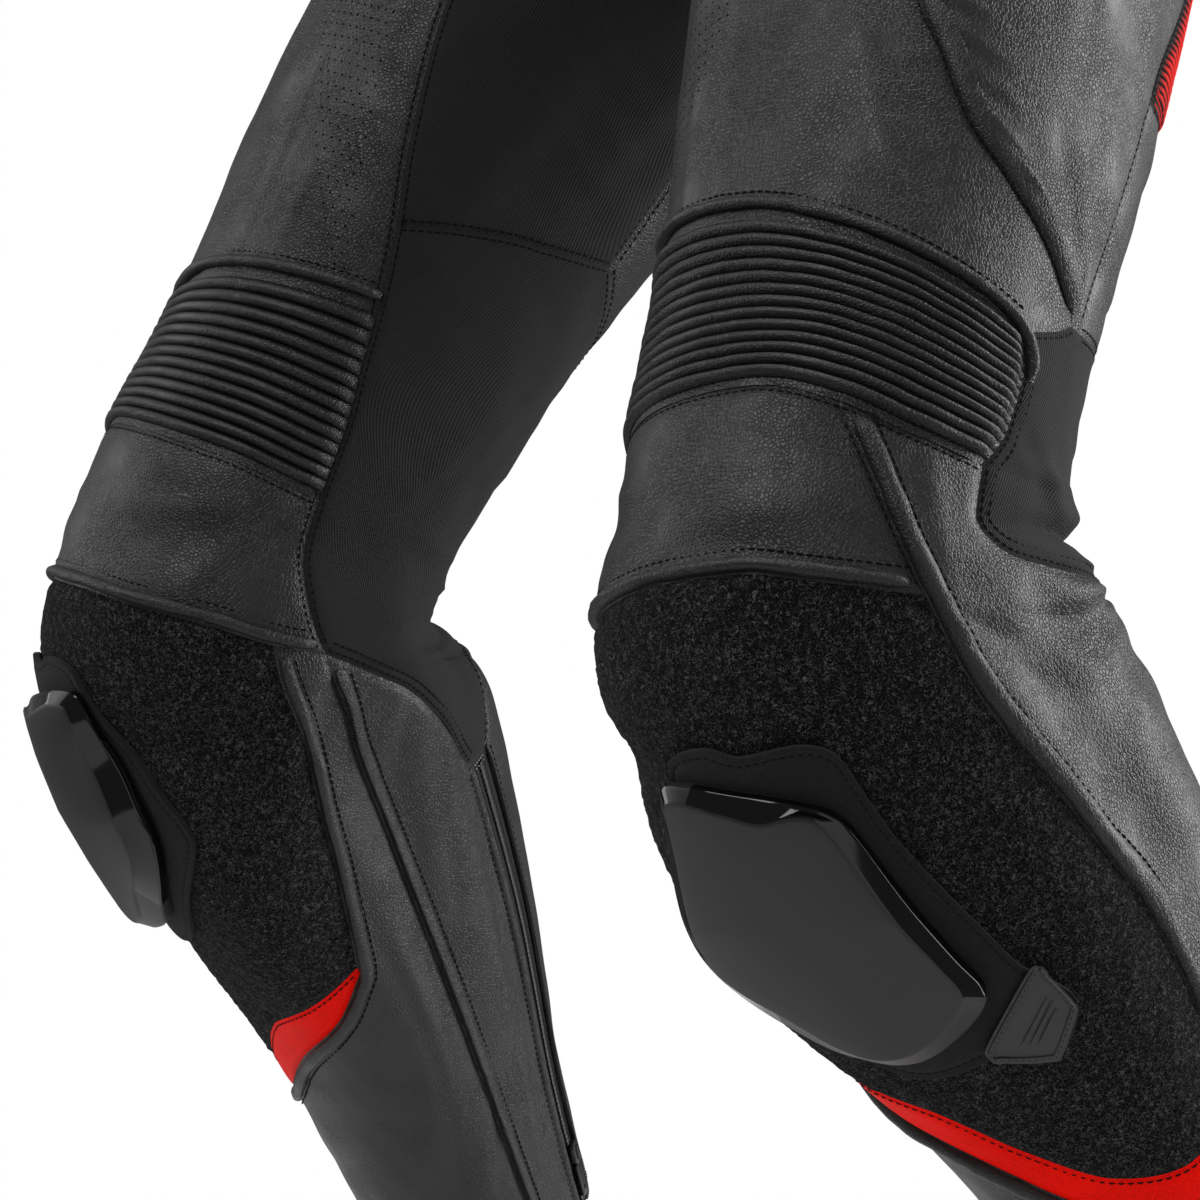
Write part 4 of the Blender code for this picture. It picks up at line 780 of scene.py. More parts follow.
def panel(name, finish, leg, *patch_sides, wall=LEATHER_WALL, lift=0.0, dents=DENT_DEPTH, dip=SEAM_DIP,
          shared=0, apart=SPACING, nap=0.0, inside_step=2):
    """A panel of cloth, a thin shell in patches that have a top, a bottom, a left and a right side each.

    shared is how many steps two patches have in common.
    """
    patches, kept, first = [], [], None
    for given in patch_sides[::-1]:
        sides = [side_of(side) for side in given]
        lengths = step_lengths(sides[0], sides[1])
        parts = [lengths[:shared], lengths[shared:]] if shared and first is None else [lengths]
        steps, keep = first or stations_of(parts, apart, inside_step)
        if shared:
            first = first or stations_of(parts[:1], apart, inside_step)
        down, keep_down = stations_of([step_lengths(sides[2], sides[3])], apart, inside_step)
        patches.append(grid(sides, steps / len(lengths), down / round(down[-1])))
        kept.append(np.ix_(keep_down, keep))
    places, cells = joined(patches)
    bare = skin(*places.T)
    normals = facing(*places.T)
    rim = rim_of(cells)
    edge = rim_distance(bare, rim)
    creases = crease_height(*places.T)
    inset = eased(edge / DENT_INSET)
    seed = DENT_SEEDS[leg]
    height = (fold_height(*places.T) + creases + dents * inset * rumple(bare, seed, *SMALL_DENTS)
              + dents * LARGE_DENT_SHARE * inset * rumple(bare, seed + 1, *LARGE_DENTS)
              + nap * eased(edge / 3) * rumple(bare, seed + 2, *NAP_DENTS))
    open_end = (places[:, 0] > HEM - 0.08) | (places[:, 0] < WAISTBAND_EDGE * 0.2)
    valley = np.where(open_end, 0.25, 1.0) * dip * np.exp(-(edge / SEAM_DIP_WIDTH) ** 2)
    outside = bare + normals * (height + lift - valley)[:, None]
    inside = bare + normals * (height + lift - wall)[:, None]
    worn = (np.clip(creases / FULL_CREASE, 0, 1) * CREASE_WEAR
            + np.exp(-((edge - EDGE_WEAR_PLACE) / EDGE_WEAR_WIDTH) ** 2) * EDGE_WEAR)
    number_of = {key: i for i, key in enumerate(keys_of(places))}
    inner_places, inner_cells = joined([p[keep] for p, keep in zip(patches, kept)])
    behind = [number_of[key] for key in keys_of(inner_places)]
    n = len(outside)
    faces = [tuple(c) for c in cells] + turned(inner_cells + n)
    faces += rim_faces(rim, {k: n + i for i, k in enumerate(behind)})
    cuts = [lengths_in(skin(p[..., 0], p[..., 1])) for p in patches]
    whole = np.zeros((len(places), 2))
    for p, c in zip(patches, cuts):
        whole[[number_of[key] for key in keys_of(p)]] = c.reshape(-1, 2)
    node = f"{name}_{leg}"
    points = np.concatenate([outside, inside[behind]])
    made = new_piece(node + "_panel", points, faces, finish, leg, node,
                     np.concatenate([whole, whole[behind]]), np.concatenate([worn, np.zeros(len(behind))]))
    declare_cut(cuts, outer_area(bare, cells))


def ribbed(name, finish, leg, sides, count, height, length):
    """A panel with padded cords across it, stitched down between them, and a plain inside."""
    sides = [side_of(side) for side in sides]
    margin = RIB_START / length
    steps = (np.arange(count)[:, None] + np.array(RIB_STEPS)).ravel()
    share = np.concatenate([[0.0, 0.35 * margin, 0.75 * margin], margin + (1 - 2 * margin) * steps / count,
                            [1 - margin, 1 - 0.75 * margin, 1 - 0.35 * margin, 1.0]])
    phase = np.concatenate([[0, 0, 0], steps % 1, [0, 0, 0, 0]])
    raised = (np.sin(np.pi * phase) ** 0.55)[:, None]
    width = steps_of(skin(*sides[0].T)).sum()
    edges = np.array(EDGE_STEPS + (5.0, 7.5)) / width
    middle = np.linspace(10 / width, 1 - 10 / width, round((width - 20) / RIB_SPACING))
    across = np.concatenate([edges, middle, 1 - edges[::-1]])
    places = grid(sides, across, share)
    bare = skin(places[..., 0], places[..., 1])
    uneven = 1 + 0.10 * rumple(bare, RIB_SEEDS[leg], *RIB_DENTS)
    side = eased(np.minimum(across, 1 - across) * width / 7)[None]
    top = eased(share / margin)[:, None] * eased((1 - share) / margin)[:, None]
    puckers = PUCKER_HEIGHT * np.sin(across * width * 2 * math.pi / PUCKER_PITCH)[None] * (1 - raised)
    lift = (height * raised * uneven + puckers) * (0.25 + 0.75 * side)
    lift = lift - 0.9 * (1 - side) - 0.6 * (1 - top) - 0.5 * (1 - raised) * top
    relief = crease_height(places[..., 0], places[..., 1]) * 0.5
    outside = cloth(places, lift + relief, creased=False)
    number = numbered(outside)
    keep = np.flatnonzero((phase == 0) | (phase == 0.5))
    inside = cloth(places[keep], relief[keep] - LEATHER_WALL, creased=False)
    inner = numbered(inside, number.size)
    faces = [tuple(c) for c in cells_of(number)] + turned(cells_of(inner))
    for c in range(number.shape[1] - 1):
        faces += [(number[0, c], number[0, c + 1], inner[0, c + 1], inner[0, c]),
                  (number[-1, c + 1], number[-1, c], inner[-1, c], inner[-1, c + 1])]
    for k, (i, j) in enumerate(zip(keep, keep[1:])):
        faces += [(*number[i:j + 1, 0][::-1], inner[k, 0], inner[k + 1, 0]),
                  (*number[i:j + 1, -1], inner[k + 1, -1], inner[k, -1])]
    cut_size = lengths_in(outside)
    worn = (np.clip(raised * uneven - 0.55, 0, 1) * side).ravel()
    node = f"{name}_{leg}"
    points = np.concatenate([outside.reshape(-1, 3), inside.reshape(-1, 3)])
    uv = np.concatenate([cut_size.reshape(-1, 2), cut_size[keep].reshape(-1, 2)])
    made = new_piece(node + "_panel", points, faces, finish, leg, node, uv,
                     np.concatenate([worn, np.zeros(inner.size)]), sharp=60)
    declare_cut([cut_size], outer_area(outside.reshape(-1, 3), cells_of(number)))
    return places[np.flatnonzero(phase[:-3] == 0)[3:]]


def sideways(places):
    """For places along a seam, the change of place that moves one millimetre to its side on the cloth."""
    row, angle = places[:, 0], places[:, 1]
    down, round_it = tangents(row, angle)
    beside = unit(np.cross(unit(np.gradient(skin(row, angle), axis=0)), unit(np.cross(down, round_it))))
    by_row, by_angle = down / (2 * ROW_NUDGE), round_it / (2 * ANGLE_NUDGE)
    rr, ra, aa = ((a * b).sum(-1) for a, b in ((by_row, by_row), (by_row, by_angle), (by_angle, by_angle)))
    br, ba = (beside * by_row).sum(-1), (beside * by_angle).sum(-1)
    return np.stack([br * aa - ba * ra, ba * rr - br * ra], -1) / (rr * aa - ra * ra)[:, None]


def strip(name, places, leg, label="", open_ends=()):
    """Rolled piping or a padded welt laid beside a seam, a little uneven, flat underneath.

    A label names a piece that only the dressed part has; an open end is one that runs on into another piece.
    """
    width, height, shift, kind = STRIPS[name]
    if kind == "round":
        profile = [(0.5 * math.cos(a), math.sin(a) ** 0.8) for a in np.linspace(0, math.pi, 11)]
    else:
        profile = FOLDED if kind == "folded behind" else [(-x, y) for x, y in FOLDED[::-1]]
    step = sideways(places)
    middle = skin(*places.T)
    swell = 1 + 0.07 * rumple(middle, ROLL_SEEDS[leg], *ROLL_DENTS)
    far = far_along(middle)
    near_end = np.minimum(far + 99 * ("start" in open_ends), far[-1] - far + 99 * ("end" in open_ends))
    ends = 0.25 + 0.75 * eased(near_end / 6)
    calm = -0.6 * crease_height(*places.T)
    rings = np.stack([cloth(places + step * (shift + x * width * swell * (0.6 + 0.4 * ends))[:, None],
                            calm - 0.6 + (y * (height + 0.6)) * swell * ends) for x, y in profile], 1)
    number = numbered(rings)
    worn = np.tile(np.array([y for _, y in profile]) ** 2, len(far)) * 0.8
    k = len(profile)
    uv = np.stack([np.tile(np.arange(k) * 1.0, len(far)), np.repeat(far, k)], -1)
    new_piece(f"{label or name}_{leg}_roll", rings.reshape(-1, 3),
              round_faces(number) + [tuple(number[0])[::-1], tuple(number[-1])], "leather", leg,
              None if label else f"{name}_{leg}", uv, worn, turn_out=True)


def outward(points, faces):
    """The faces turned so that the piece they close has its outside out."""
    total = 0.0
    for f in faces:
        for k in range(1, len(f) - 1):
            total += np.dot(points[f[0]], np.cross(points[f[k]], points[f[k + 1]]))
    return faces if total > 0 else turned(faces)


def rounded(outline, n):
    """A closed smooth line of n points through an outline's points."""
    p = np.array(outline, float)
    k = len(p)
    x = np.arange(n) * k / n
    i = x.astype(int)
    return between(*(p[(i + s) % k] for s in (-1, 0, 1, 2)), (x - i)[:, None])


def inward_of(line):
    """At each point of a closed flat line, the way in."""
    tangent = np.roll(line, -1, axis=0) - np.roll(line, 1, axis=0)
    return unit(np.stack([tangent[:, 1], -tangent[:, 0]], -1))


def slider_places(outline, at):
    """Skin places of an outline given in millimetres along and across the shin, round the slider's middle."""
    along, outward_ = np.array(outline, float).T
    per_row = np.linalg.norm(skin(at[0] + 0.5, at[1]) - skin(at[0] - 0.5, at[1]))
    row = at[0] + along / per_row
    per_degree = np.linalg.norm(skin(row, at[1] + 5) - skin(row, at[1] - 5), axis=-1) / 10
    return np.stack([row, at[1] + outward_ / per_degree], -1)


def plate(name, levels, leg, finish, n, fall=0.0):
    """A plate on the shin, level by level.

    A level is its outline, drawn in by a distance and a share, its lift, and its finish: one number, or one
    for each place round the outline. With a fall, the end under the knee lies that much lower on top.
    """
    bottom, top = levels[0][3], levels[-1][3]
    rings, kinds = [], []
    for outline, inset, share, lift, kind in levels:
        line = rounded(outline, n)
        middle = line.mean(axis=0)
        flat = middle + (line + inward_of(line) * inset - middle) * share
        drop = fall * np.clip(-flat[:, 0] / FALL_REACH, 0, 1) * (lift - bottom) / (top - bottom)
        rings.append(cloth(slider_places(flat, SLIDERS[leg]), lift - drop, creased=False))
        kinds.append(np.broadcast_to(kind, n))
    number = numbered(np.array(rings))
    last = number.size
    rings += [rings[k].mean(axis=0)[None] for k in (0, -1)]
    faces = round_faces(number)
    which = [int(k) for kind in kinds[1:] for k in kind] + [0] * (2 * n)
    for j in range(n):
        k = (j + 1) % n
        faces += [(last, k, j), (last + 1, last - n + j, last - n + k)]
    points = np.concatenate(rings)
    zero = np.zeros((len(points), 2))
    node = f"{name}_{leg}"
    return new_piece(node + "_plate", points, faces, finish, leg, node, zero, zero[:, 0], sharp=28,
                     which=which, turn_out=True)


THREADS, ZIP_TACKS, RED_TACKS = ({"left": [], "right": []} for _ in range(3))


def even_marks(line, normals, pitch):
    """Centres, directions and normals of marks at an even pitch along a line."""
    far = far_along(line)
    n = max(1, int(far[-1] / pitch))
    at = (np.arange(n) + 0.5) * far[-1] / n
    up = unit(read_off(normals, far, at))
    ahead = read_off(line, far, at + 0.5) - read_off(line, far, at - 0.5)
    ahead = unit(ahead - (ahead * up).sum(-1, keepdims=True) * up)
    return read_off(line, far, at), ahead, up


def stitch_line(places, leg, shift=0.0, lift=0.0, pitch=STITCH_PITCH, long=STITCH_LENGTH, thick=STITCH_THICK,
                dip=True):
    """A row of stitches beside a seam, shift millimetres to its side."""
    moved = places + sideways(places) * shift
    sink = SEAM_DIP * math.exp(-(shift / SEAM_DIP_WIDTH) ** 2) if dip else 0.0
    line = cloth(moved, lift - sink + thick * STITCH_RISE)
    THREADS[leg].append((*even_marks(line, facing(*moved.T), pitch), long, thick))


def sew(name, rows, leg, finish):
    """Rows of stitches of a leg as one mesh of short threads that dive into the cloth at both ends."""
    points, faces, start = [], [], 0
    turn = circle(4)
    for place, ahead, up, long, thick in rows[leg]:
        beside = np.cross(ahead, up)
        across = beside[:, None] * np.cos(turn)[:, None] + up[:, None] * np.sin(turn)[:, None] * 0.8
        block = np.stack([place[:, None] + ahead[:, None] * along * long + up[:, None] * rise * thick
                          + across * fat * thick / 2 for along, fat, rise in STITCH_SHAPE], 1)
        number = numbered(block, start)
        faces += round_faces(number)
        points.append(block.reshape(-1, 3))
        start += number.size
    new_piece(f"{name}_{leg}", np.concatenate(points), faces, finish, leg, sharp=80)


def upper_panels(leg):
    """Hips, thighs and gusset, from the waistband to above the knee."""
    edge = WAISTBAND_EDGE
    welt, rear = FRONT_WELT[0][1], REAR_SEAM[0][1]
    panel("thigh_front", "leather", leg, (
        level(edge, centre_angle(edge, False), welt, 10),
        ("ribs top", "thigh tail"),
        chain(centre(edge, CROTCH_FRONT, False, 7),
              inner_seam("inner beside gusset", "inner beside stretch")),
        "front welt"))
    panel("thigh_outer", "leather", leg, (
        level(edge, welt, rear, 5),
        "outer tip",
        "front welt",
        ("rear beside seat", "rear beside ribs", "rear beside back")))
    panel("seat", "leather", leg, (
        level(edge, rear, centre_angle(edge, True), 7),
        "seat edge",
        "rear beside seat",
        chain(centre(edge, CROTCH_BACK, True, 5), back_binding("binding beside seat"))))
    furrows = ribbed("seat_ribs", "red_ribs", leg, (
        "seat edge", "seat ribs edge", "rear beside ribs", "binding beside ribs"),
        SEAT_RIB_COUNT, SEAT_RIB_HEIGHT, 90)
    panel("thigh_back", "leather", leg, (
        "seat ribs edge", "thigh back edge", "rear beside back", "binding beside back"))
    bend = np.linspace(centre_angle(CROTCH_BACK, True), centre_angle(CROTCH_FRONT, False) + 360, 5 * FINE + 1)
    panel("gusset", "stretch", leg, (
        np.stack([centre_row(bend), bend], -1),
        "stretch seam",
        back_binding("binding beside seat", "binding beside ribs", "binding beside back"),
        inner_seam("inner beside gusset", turn=1)), wall=STRETCH_WALL, dents=0.35)
    return furrows


def knee_panels(leg):
    """Accordion, knee, loop panel and the stretch cloth that joins thigh and calf behind the knee."""
    furrows = ribbed("accordion", "leather", leg, (
        "ribs top", "ribs bottom", "inner beside ribs", "ribs outer end"), RIB_COUNT, RIB_HEIGHT, 85)
    panel("knee_front", "leather", leg, (
        "knee top", ("knee edge beside calf", "knee edge"), "inner beside knee", "shin welt beside knee"))
    panel("knee_loop", "loop", leg, (
        "knee edge", "loop bottom", "loop edge", "shin welt beside loop"), apart=2.1, nap=0.45)
    panel("knee_trim", "red_leather", leg, (
        "loop bottom", "trim bottom", "trim end", "shin welt beside trim"))
    panel("knee_stretch", "stretch", leg, (
        ("thigh tail", "outer tip, plain", "thigh back edge", "stretch seam"),
        ("hollow beside shin", "hollow beside calf back", "hollow beside zip", "hollow beside calf"),
        ("ribs outer end", "hollow beside ribs"),
        chain("inner beside stretch", "inner beside ribs", "inner beside knee", turn=1)),
        wall=STRETCH_WALL, dents=0.4, inside_step=1)
    return furrows


def calf_panels(leg):
    """Leather below the knee, and the zip."""
    inner, outer, back = CALF_SEAM[-1][1], SHIN_WELT[-1][1], CALF_BACK_SEAM[-1][1]
    zip_outer, zip_inner = ZIP_OUTER_EDGE[-1][1], ZIP_INNER_EDGE[-1][1]
    panel("calf_inner", "leather", leg, (
        "calf inner top",
        level(HEM, inner, outer, 8),
        ("calf seam, top", "calf seam, upper", "calf seam, middle", "calf seam, lower"),
        ("loop edge", "trim end", "trim bottom", "shin welt to hem")))
    panel("shin_outer", "leather", leg, (
        "outer shin top", "shin corner", "shin welt beside knee", "hollow beside ribs"), (
        ("shin corner", "hollow beside shin"),
        level(HEM, outer, back, 9),
        ("shin welt beside loop", "shin welt beside trim", "shin welt to hem"),
        "calf back seam"), shared=4, inside_step=1)
    panel("calf_back", "leather", leg, (
        "hollow beside calf back", level(HEM, back, zip_outer, 4), "calf back seam", "zip outer edge"))
    panel("zip", "zip_tape", leg, (
        "hollow beside zip", level(HEM, zip_outer, zip_inner, 1), "zip outer edge", "zip inner edge"),
        wall=ZIP_WALL, lift=-ZIP_SINK, dents=0, dip=0)
    panel("calf_side", "leather", leg, (
        "hollow beside calf", level(HEM, zip_inner, inner + 360, 4), "zip inner edge",
        chain("calf seam, top", "calf seam, side", turn=1)))


def round_the_loop(start):
    """Places down the loop panel's inner edge and on round the red border, and where the border starts."""
    line = np.concatenate([cut(LOOP_EDGE, start, 11.47), cut(TRIM_BOTTOM, -55, 90, by_angle=True)])
    places = even_places(line)
    return places, int(np.argmax(places[:, 0] > 11.4))


def trims(leg):
    """Piping and welts."""
    strip("piping_ribs", even_places(edge_line(RIBS_PIPING, 0, len(RIBS_PIPING) - 1, 300)), leg)
    strip("piping_knee", cut(KNEE_EDGE, -83, 56, by_angle=True), leg)
    places, turn = round_the_loop(9.06)
    strip("piping_loop", places[:turn + 1], leg, open_ends=("end",))
    strip("piping_loop", places[turn:], leg, label="piping_border", open_ends=("start",))
    strip("welt_front", cut(FRONT_WELT, 0.6, 6.98), leg)
    strip("welt_shin", cut(SHIN_WELT, 7.9, 13.96), leg)
    strip("calf_welt", cut(CALF_SEAM, 9.3, 13.96), leg, label="calf_welt")
    strip("zip_lip_inner", cut(ZIP_INNER_EDGE, 10.97, 13.96), leg, label="zip_lip_inner")
    strip("zip_lip_outer", cut(ZIP_OUTER_EDGE, 10.97, 13.96), leg, label="zip_lip_outer")


# Sewn rows beside seams: the seam, from and to, whether these are angles, and how far to its sides rows lie.
STITCH_ROWS = (
    (RIBS_TOP, -59, 77, True, (-8.6,)),
    (KNEE_EDGE, -80, 56, True, (-9.8,)),
    (FRONT_WELT, 0.6, 6.9, False, (1.2,)),
    (SHIN_WELT, 7.9, 13.9, False, (-10.2,)),
    (SHIN_WELT, 7.9, 8.7, False, (1.6,)),
    (REAR_SEAM, 0.6, 6.95, False, (2.4,)),
    (INNER_SEAM, 3.3, 9.0, False, (-2.4, 2.6)),
    (BACK_BINDING, 3.4, 5.85, False, (-2.6, 2.6)),
    (CALF_SEAM, 9.4, 13.95, False, (8.2,)),
    (CALF_BACK_SEAM, 9.45, 13.95, False, (2.4,)),
    (ZIP_OUTER_EDGE, 11.0, 13.95, False, (4.9,)),
    (ZIP_INNER_EDGE, 11.0, 13.95, False, (-4.9,)),
    (STRETCH_SEAM, 244, 303, True, (-2.2, 2.2)),
    (THIGH_BACK_EDGE, 101, 242, True, (-2.4, 2.4)),
    (SEAT_EDGE, 126, 241, True, (-2.4,)),
    (SEAT_RIBS_EDGE, 108, 245, True, (2.4,)),
    (RIBS_BOTTOM, -72, 73, True, (2.4,)),
    (RIBS_OUTER_END, 7.34, 8.05, False, (-2.4, -6.2)),
    (LOOP_BOTTOM, -54, 91, True, (2.0,)),
)
FURROW_LIFT, FURROW_PITCH, FURROW_LENGTH = -0.35, 3.4, 2.6


def stitching(leg, rib_furrows, seat_furrows):
    """Every sewn row of a leg."""
    for seam, start, end, by_angle, shifts in STITCH_ROWS:
        line = cut(seam, start, end, by_angle)
        for shift in shifts:
            stitch_line(line, leg, shift)
    stitch_line(round_the_loop(9.1)[0], leg, 9.0)
    stitch_line(even_places(edge_line(THIGH_TAIL, 0, 2, 40)), leg, 2.6)
    for first, last, steps in ((0, 9, 220), (10, 14, 90)):
        hollow = edge_line(KNEE_HOLLOW, first, last, steps)
        for shift in (-2.4, -6.2):
            stitch_line(hollow, leg, shift)
    stitch_line(level(HEM - 0.11, 0, 360, 20), leg, dip=False)
    for furrows, thick in ((rib_furrows, 0.6), (seat_furrows[::3], 0.5)):
        for furrow in furrows:
            stitch_line(furrow[4:-4], leg, 0.0, FURROW_LIFT, FURROW_PITCH, FURROW_LENGTH, thick, dip=False)
    for row in (0.07, WAISTBAND_EDGE - 0.06, WAISTBAND_EDGE + 0.06):
        angles = np.linspace(float(centre_angle(row, False)) + 14, float(centre_angle(row, True)), 240)
        stitch_line(np.stack([np.full(240, row), angles], -1), leg, dip=False)
    for row in (11.0, 11.035):
        tack(ZIP_TACKS, leg, (row, 233.0), (row, 239.6), 2.3, 0.8, 0.7, -ZIP_SINK + 0.5)
    for row in (5.56, 5.6, 5.64):
        tack(RED_TACKS, leg, (row, 107.5), (row - 0.03, 121), 1.5, 1.8, 0.6, 0.5)


def tack(kind, leg, start, end, pitch, long, thick, lift):
    """A short row of close stitches that holds an end down."""
    places = np.linspace(start, end, 30)
    kind[leg].append((*even_marks(cloth(places, lift), facing(*places.T), pitch), long, thick))


# The field of punched holes: at a ring, its outer and its inner angle.
PUNCHED = ((2.4, 22, -4), (4.0, 16, -14), (5.3, 6, -24), (6.0, -18, -37), (6.57, -43, -48))
PUNCH_PITCH, PUNCH_RADIUS, PUNCH_ROW_LENGTH = 5.0, 0.55, 84.0


def punched_holes(leg):
    """Small round holes in staggered rows down the inner front of the thigh, as dark dimples: near-black
    discs of painted shade where the holes are.
    """
    rows = np.arange(PUNCHED[0][0], PUNCHED[-1][0], PUNCH_PITCH / PUNCH_ROW_LENGTH)
    outer = smooth(rows, [(r, a) for r, a, _ in PUNCHED])
    inner = smooth(rows, [(r, b) for r, _, b in PUNCHED])
    spots = []
    for k, row in enumerate(rows):
        wide = np.linalg.norm(skin(row, outer[k]) - skin(row, inner[k]))
        for j in range(int(wide / PUNCH_PITCH) + 1):
            share = (j + (0.5 if k % 2 else 0.0)) * PUNCH_PITCH / max(wide, 1)
            if share <= 1:
                spots.append((row, inner[k] + (outer[k] - inner[k]) * share))
    spots = np.array(spots)
    bare, up = skin(*spots.T), facing(*spots.T)
    seed = DENT_SEEDS[leg]
    dents = (DENT_DEPTH * rumple(bare, seed, *SMALL_DENTS)
             + DENT_DEPTH * LARGE_DENT_SHARE * rumple(bare, seed + 1, *LARGE_DENTS))
    place = cloth(spots, 0.0) + up * (dents + 0.07)[:, None]
    x = unit(np.cross(up, (0, 0, 1.0)))
    y = np.cross(up, x)
    turn = circle(8)
    rim = (x[:, None] * np.cos(turn)[:, None] + y[:, None] * np.sin(turn)[:, None]) * PUNCH_RADIUS
    block = np.stack([place[:, None] + rim + up[:, None] * rise for rise in (-0.25, 0.0)], 1)
    number = numbered(block)
    faces = round_faces(number) + [tuple(f) for f in number[:, 1]] + turned(number[:, 0])
    new_piece(f"punched_holes_{leg}", block.reshape(-1, 3), faces, "hole", leg, sharp=50,
              turn_out=True)


def slider_parts(leg):
    """The knee slider: its suede flap, the plastic puck and the rubber label."""
    low, high = FLAP_LIFT - 0.9, FLAP_LIFT + FLAP_WALL
    made = plate("slider_flap", [(FLAP_OUTLINE, *level, 0) for level in (
        (0.4, 0.3, low), (0.4, 0.65, low), (0.4, 1.0, low), (0, 1.0, low + 0.5), (0, 1.0, high - 0.5),
        (0.4, 1.0, high - 0.05), (2.4, 1.0, high - 0.1), (3.4, 1.0, high - 0.4), (4.4, 1.0, high - 0.1),
        (6.5, 1.0, high), (6.5, 0.85, high), (6.5, 0.7, high), (6.5, 0.45, high), (6.5, 0.2, high))],
        leg, "suede", 240)
    inner_row(FLAP_OUTLINE, 3.4, leg, high - 0.42, 3.6, 2.8, 0.7)

    n = 252
    place = np.arange(n) * len(PUCK_OUTLINE) / n
    glossy = ((place > GLOSS_START) & (place < GLOSS_END)) | (place > GLOSS_INNER)
    low, top = PUCK_LIFT - 1.9, PUCK_LIFT + PUCK_HEIGHT
    shoulder = top - PUCK_BEVEL
    plate("slider_puck", [(PUCK_OUTLINE, *level) for level in (
        (2.0, 0.3, low, 0), (2.0, 0.65, low, 0), (1.0, 1.0, low, 0), (0.2, 1.0, low + 0.9, 0),
        (0.0, 1.0, low + 2.2, 0), (0.1, 1.0, shoulder - 1.2, glossy), (0.5, 1.0, shoulder - 0.3, glossy),
        (1.1, 1.0, shoulder + 0.4, glossy))] + [(PUCK_FACE, *level) for level in (
            (-1.1, 1.0, top - 1.5, glossy), (-0.4, 1.0, top - 0.7, glossy), (0.4, 1.0, top - 0.15, 0),
            (1.4, 1.0, top, 0), (1.4, 0.85, top + 0.2, 0), (1.4, 0.6, top + 0.6, 0),
            (1.4, 0.3, top + 0.9, 0))],
        leg, ("slider", "slider_bevel"), n, PUCK_FALL)

    low, top = LABEL_LIFT - 0.9, LABEL_LIFT + LABEL_WALL
    plate("slider_label", [(LABEL_OUTLINE, *level, 0) for level in (
        (0, 0.5, low), (0, 1.0, low), (0, 1.0, top - 0.4), (0.3, 1.0, top), (2.0, 1.0, top),
        (2.4, 1.0, top - 0.7), (3.4, 1.0, top - 0.75), (3.4, 0.85, top - 0.75), (3.4, 0.5, top - 0.75))],
        leg, "rubber", 96)
    inner_row(LABEL_OUTLINE, 1.15, leg, top - 0.12, 2.6, 1.9, 0.55)
    label_bars(leg, top)


def inner_row(outline, inset, leg, lift, pitch, long, thick):
    """A row of stitches inside a plate's outline."""
    line = rounded(outline, 400)
    flat = line + inward_of(line) * inset
    places = slider_places(np.concatenate([flat, flat[:1]]), SLIDERS[leg])
    line = cloth(places, lift, creased=False)
    THREADS[leg].append((*even_marks(line, facing(*places.T), pitch), long, thick))


def label_bars(leg, top):
    """Three raised bars along the rubber label, with bare ground between them."""
    points, faces, start = [], [], 0
    far = np.linspace(0, 1, 14)
    edge = 1 - 0.8 * np.exp(-(np.minimum(far, 1 - far) / 0.05) ** 2)
    for first, last in np.array(LABEL_BARS):
        line = first + (last - first) * far[:, None]
        beside = unit(last - first)[::-1] * (-1, 1) * LABEL_BAR_WIDTH
        rings = np.stack([cloth(slider_places(line + x * beside, SLIDERS[leg]),
                                top - 0.8 + y * 0.7 * edge, creased=False)
                          for x, y in ((-0.5, 0.0), (-0.36, 0.8), (0.0, 1.0), (0.36, 0.8), (0.5, 0.0))], 1)
        number = numbered(rings, start)
        start += number.size
        faces += round_faces(number) + [tuple(number[0])[::-1], tuple(number[-1])]
        points.append(rings.reshape(-1, 3))
    new_piece(f"label_bars_{leg}", np.concatenate(points), faces, "rubber", leg, sharp=60,
              turn_out=True)


def zip_line():
    """Places down the middle of the zip."""
    row = np.linspace(11.02, 13.97, 240)
    return np.stack([row, (smooth(row, ZIP_OUTER_EDGE) + smooth(row, ZIP_INNER_EDGE)) / 2], -1)


def zip_coil(leg):
    """The closed coil: one rounded link after another across the zip, alternating to either side."""
    places = zip_line()
    place, ahead, up = even_marks(cloth(places, -ZIP_SINK + 0.1), facing(*places.T), COIL_PITCH)
    beside = np.cross(ahead, up)
    side = np.where(np.arange(len(place)) % 2, 1.0, -1.0)[:, None, None]
    turn = circle(8)
    block = np.stack([place[:, None] + beside[:, None] * side * across * COIL_WIDTH
                      + ahead[:, None] * np.cos(turn)[:, None] * fat * COIL_PITCH * 0.44
                      + up[:, None] * (np.sin(turn)[:, None] * 0.5 * high + 0.35) * COIL_HEIGHT
                      for across, fat, high in COIL_SHAPE], 1)
    number = numbered(block)
    faces = [(a, d, c, b) for a, b, c, d in round_faces(number)]
    faces += [tuple(f) for f in number[:, 0]] + turned(number[:, -1])
    new_piece(f"zip_coil_{leg}", block.reshape(-1, 3), faces, "coil", leg, sharp=60)
    for across in (-5.0, 5.0):
        edge = places + sideways(places) * across
        THREADS[leg].append((*even_marks(cloth(edge, -ZIP_SINK + 0.15), facing(*edge.T), 2.4), 1.9, 0.5))


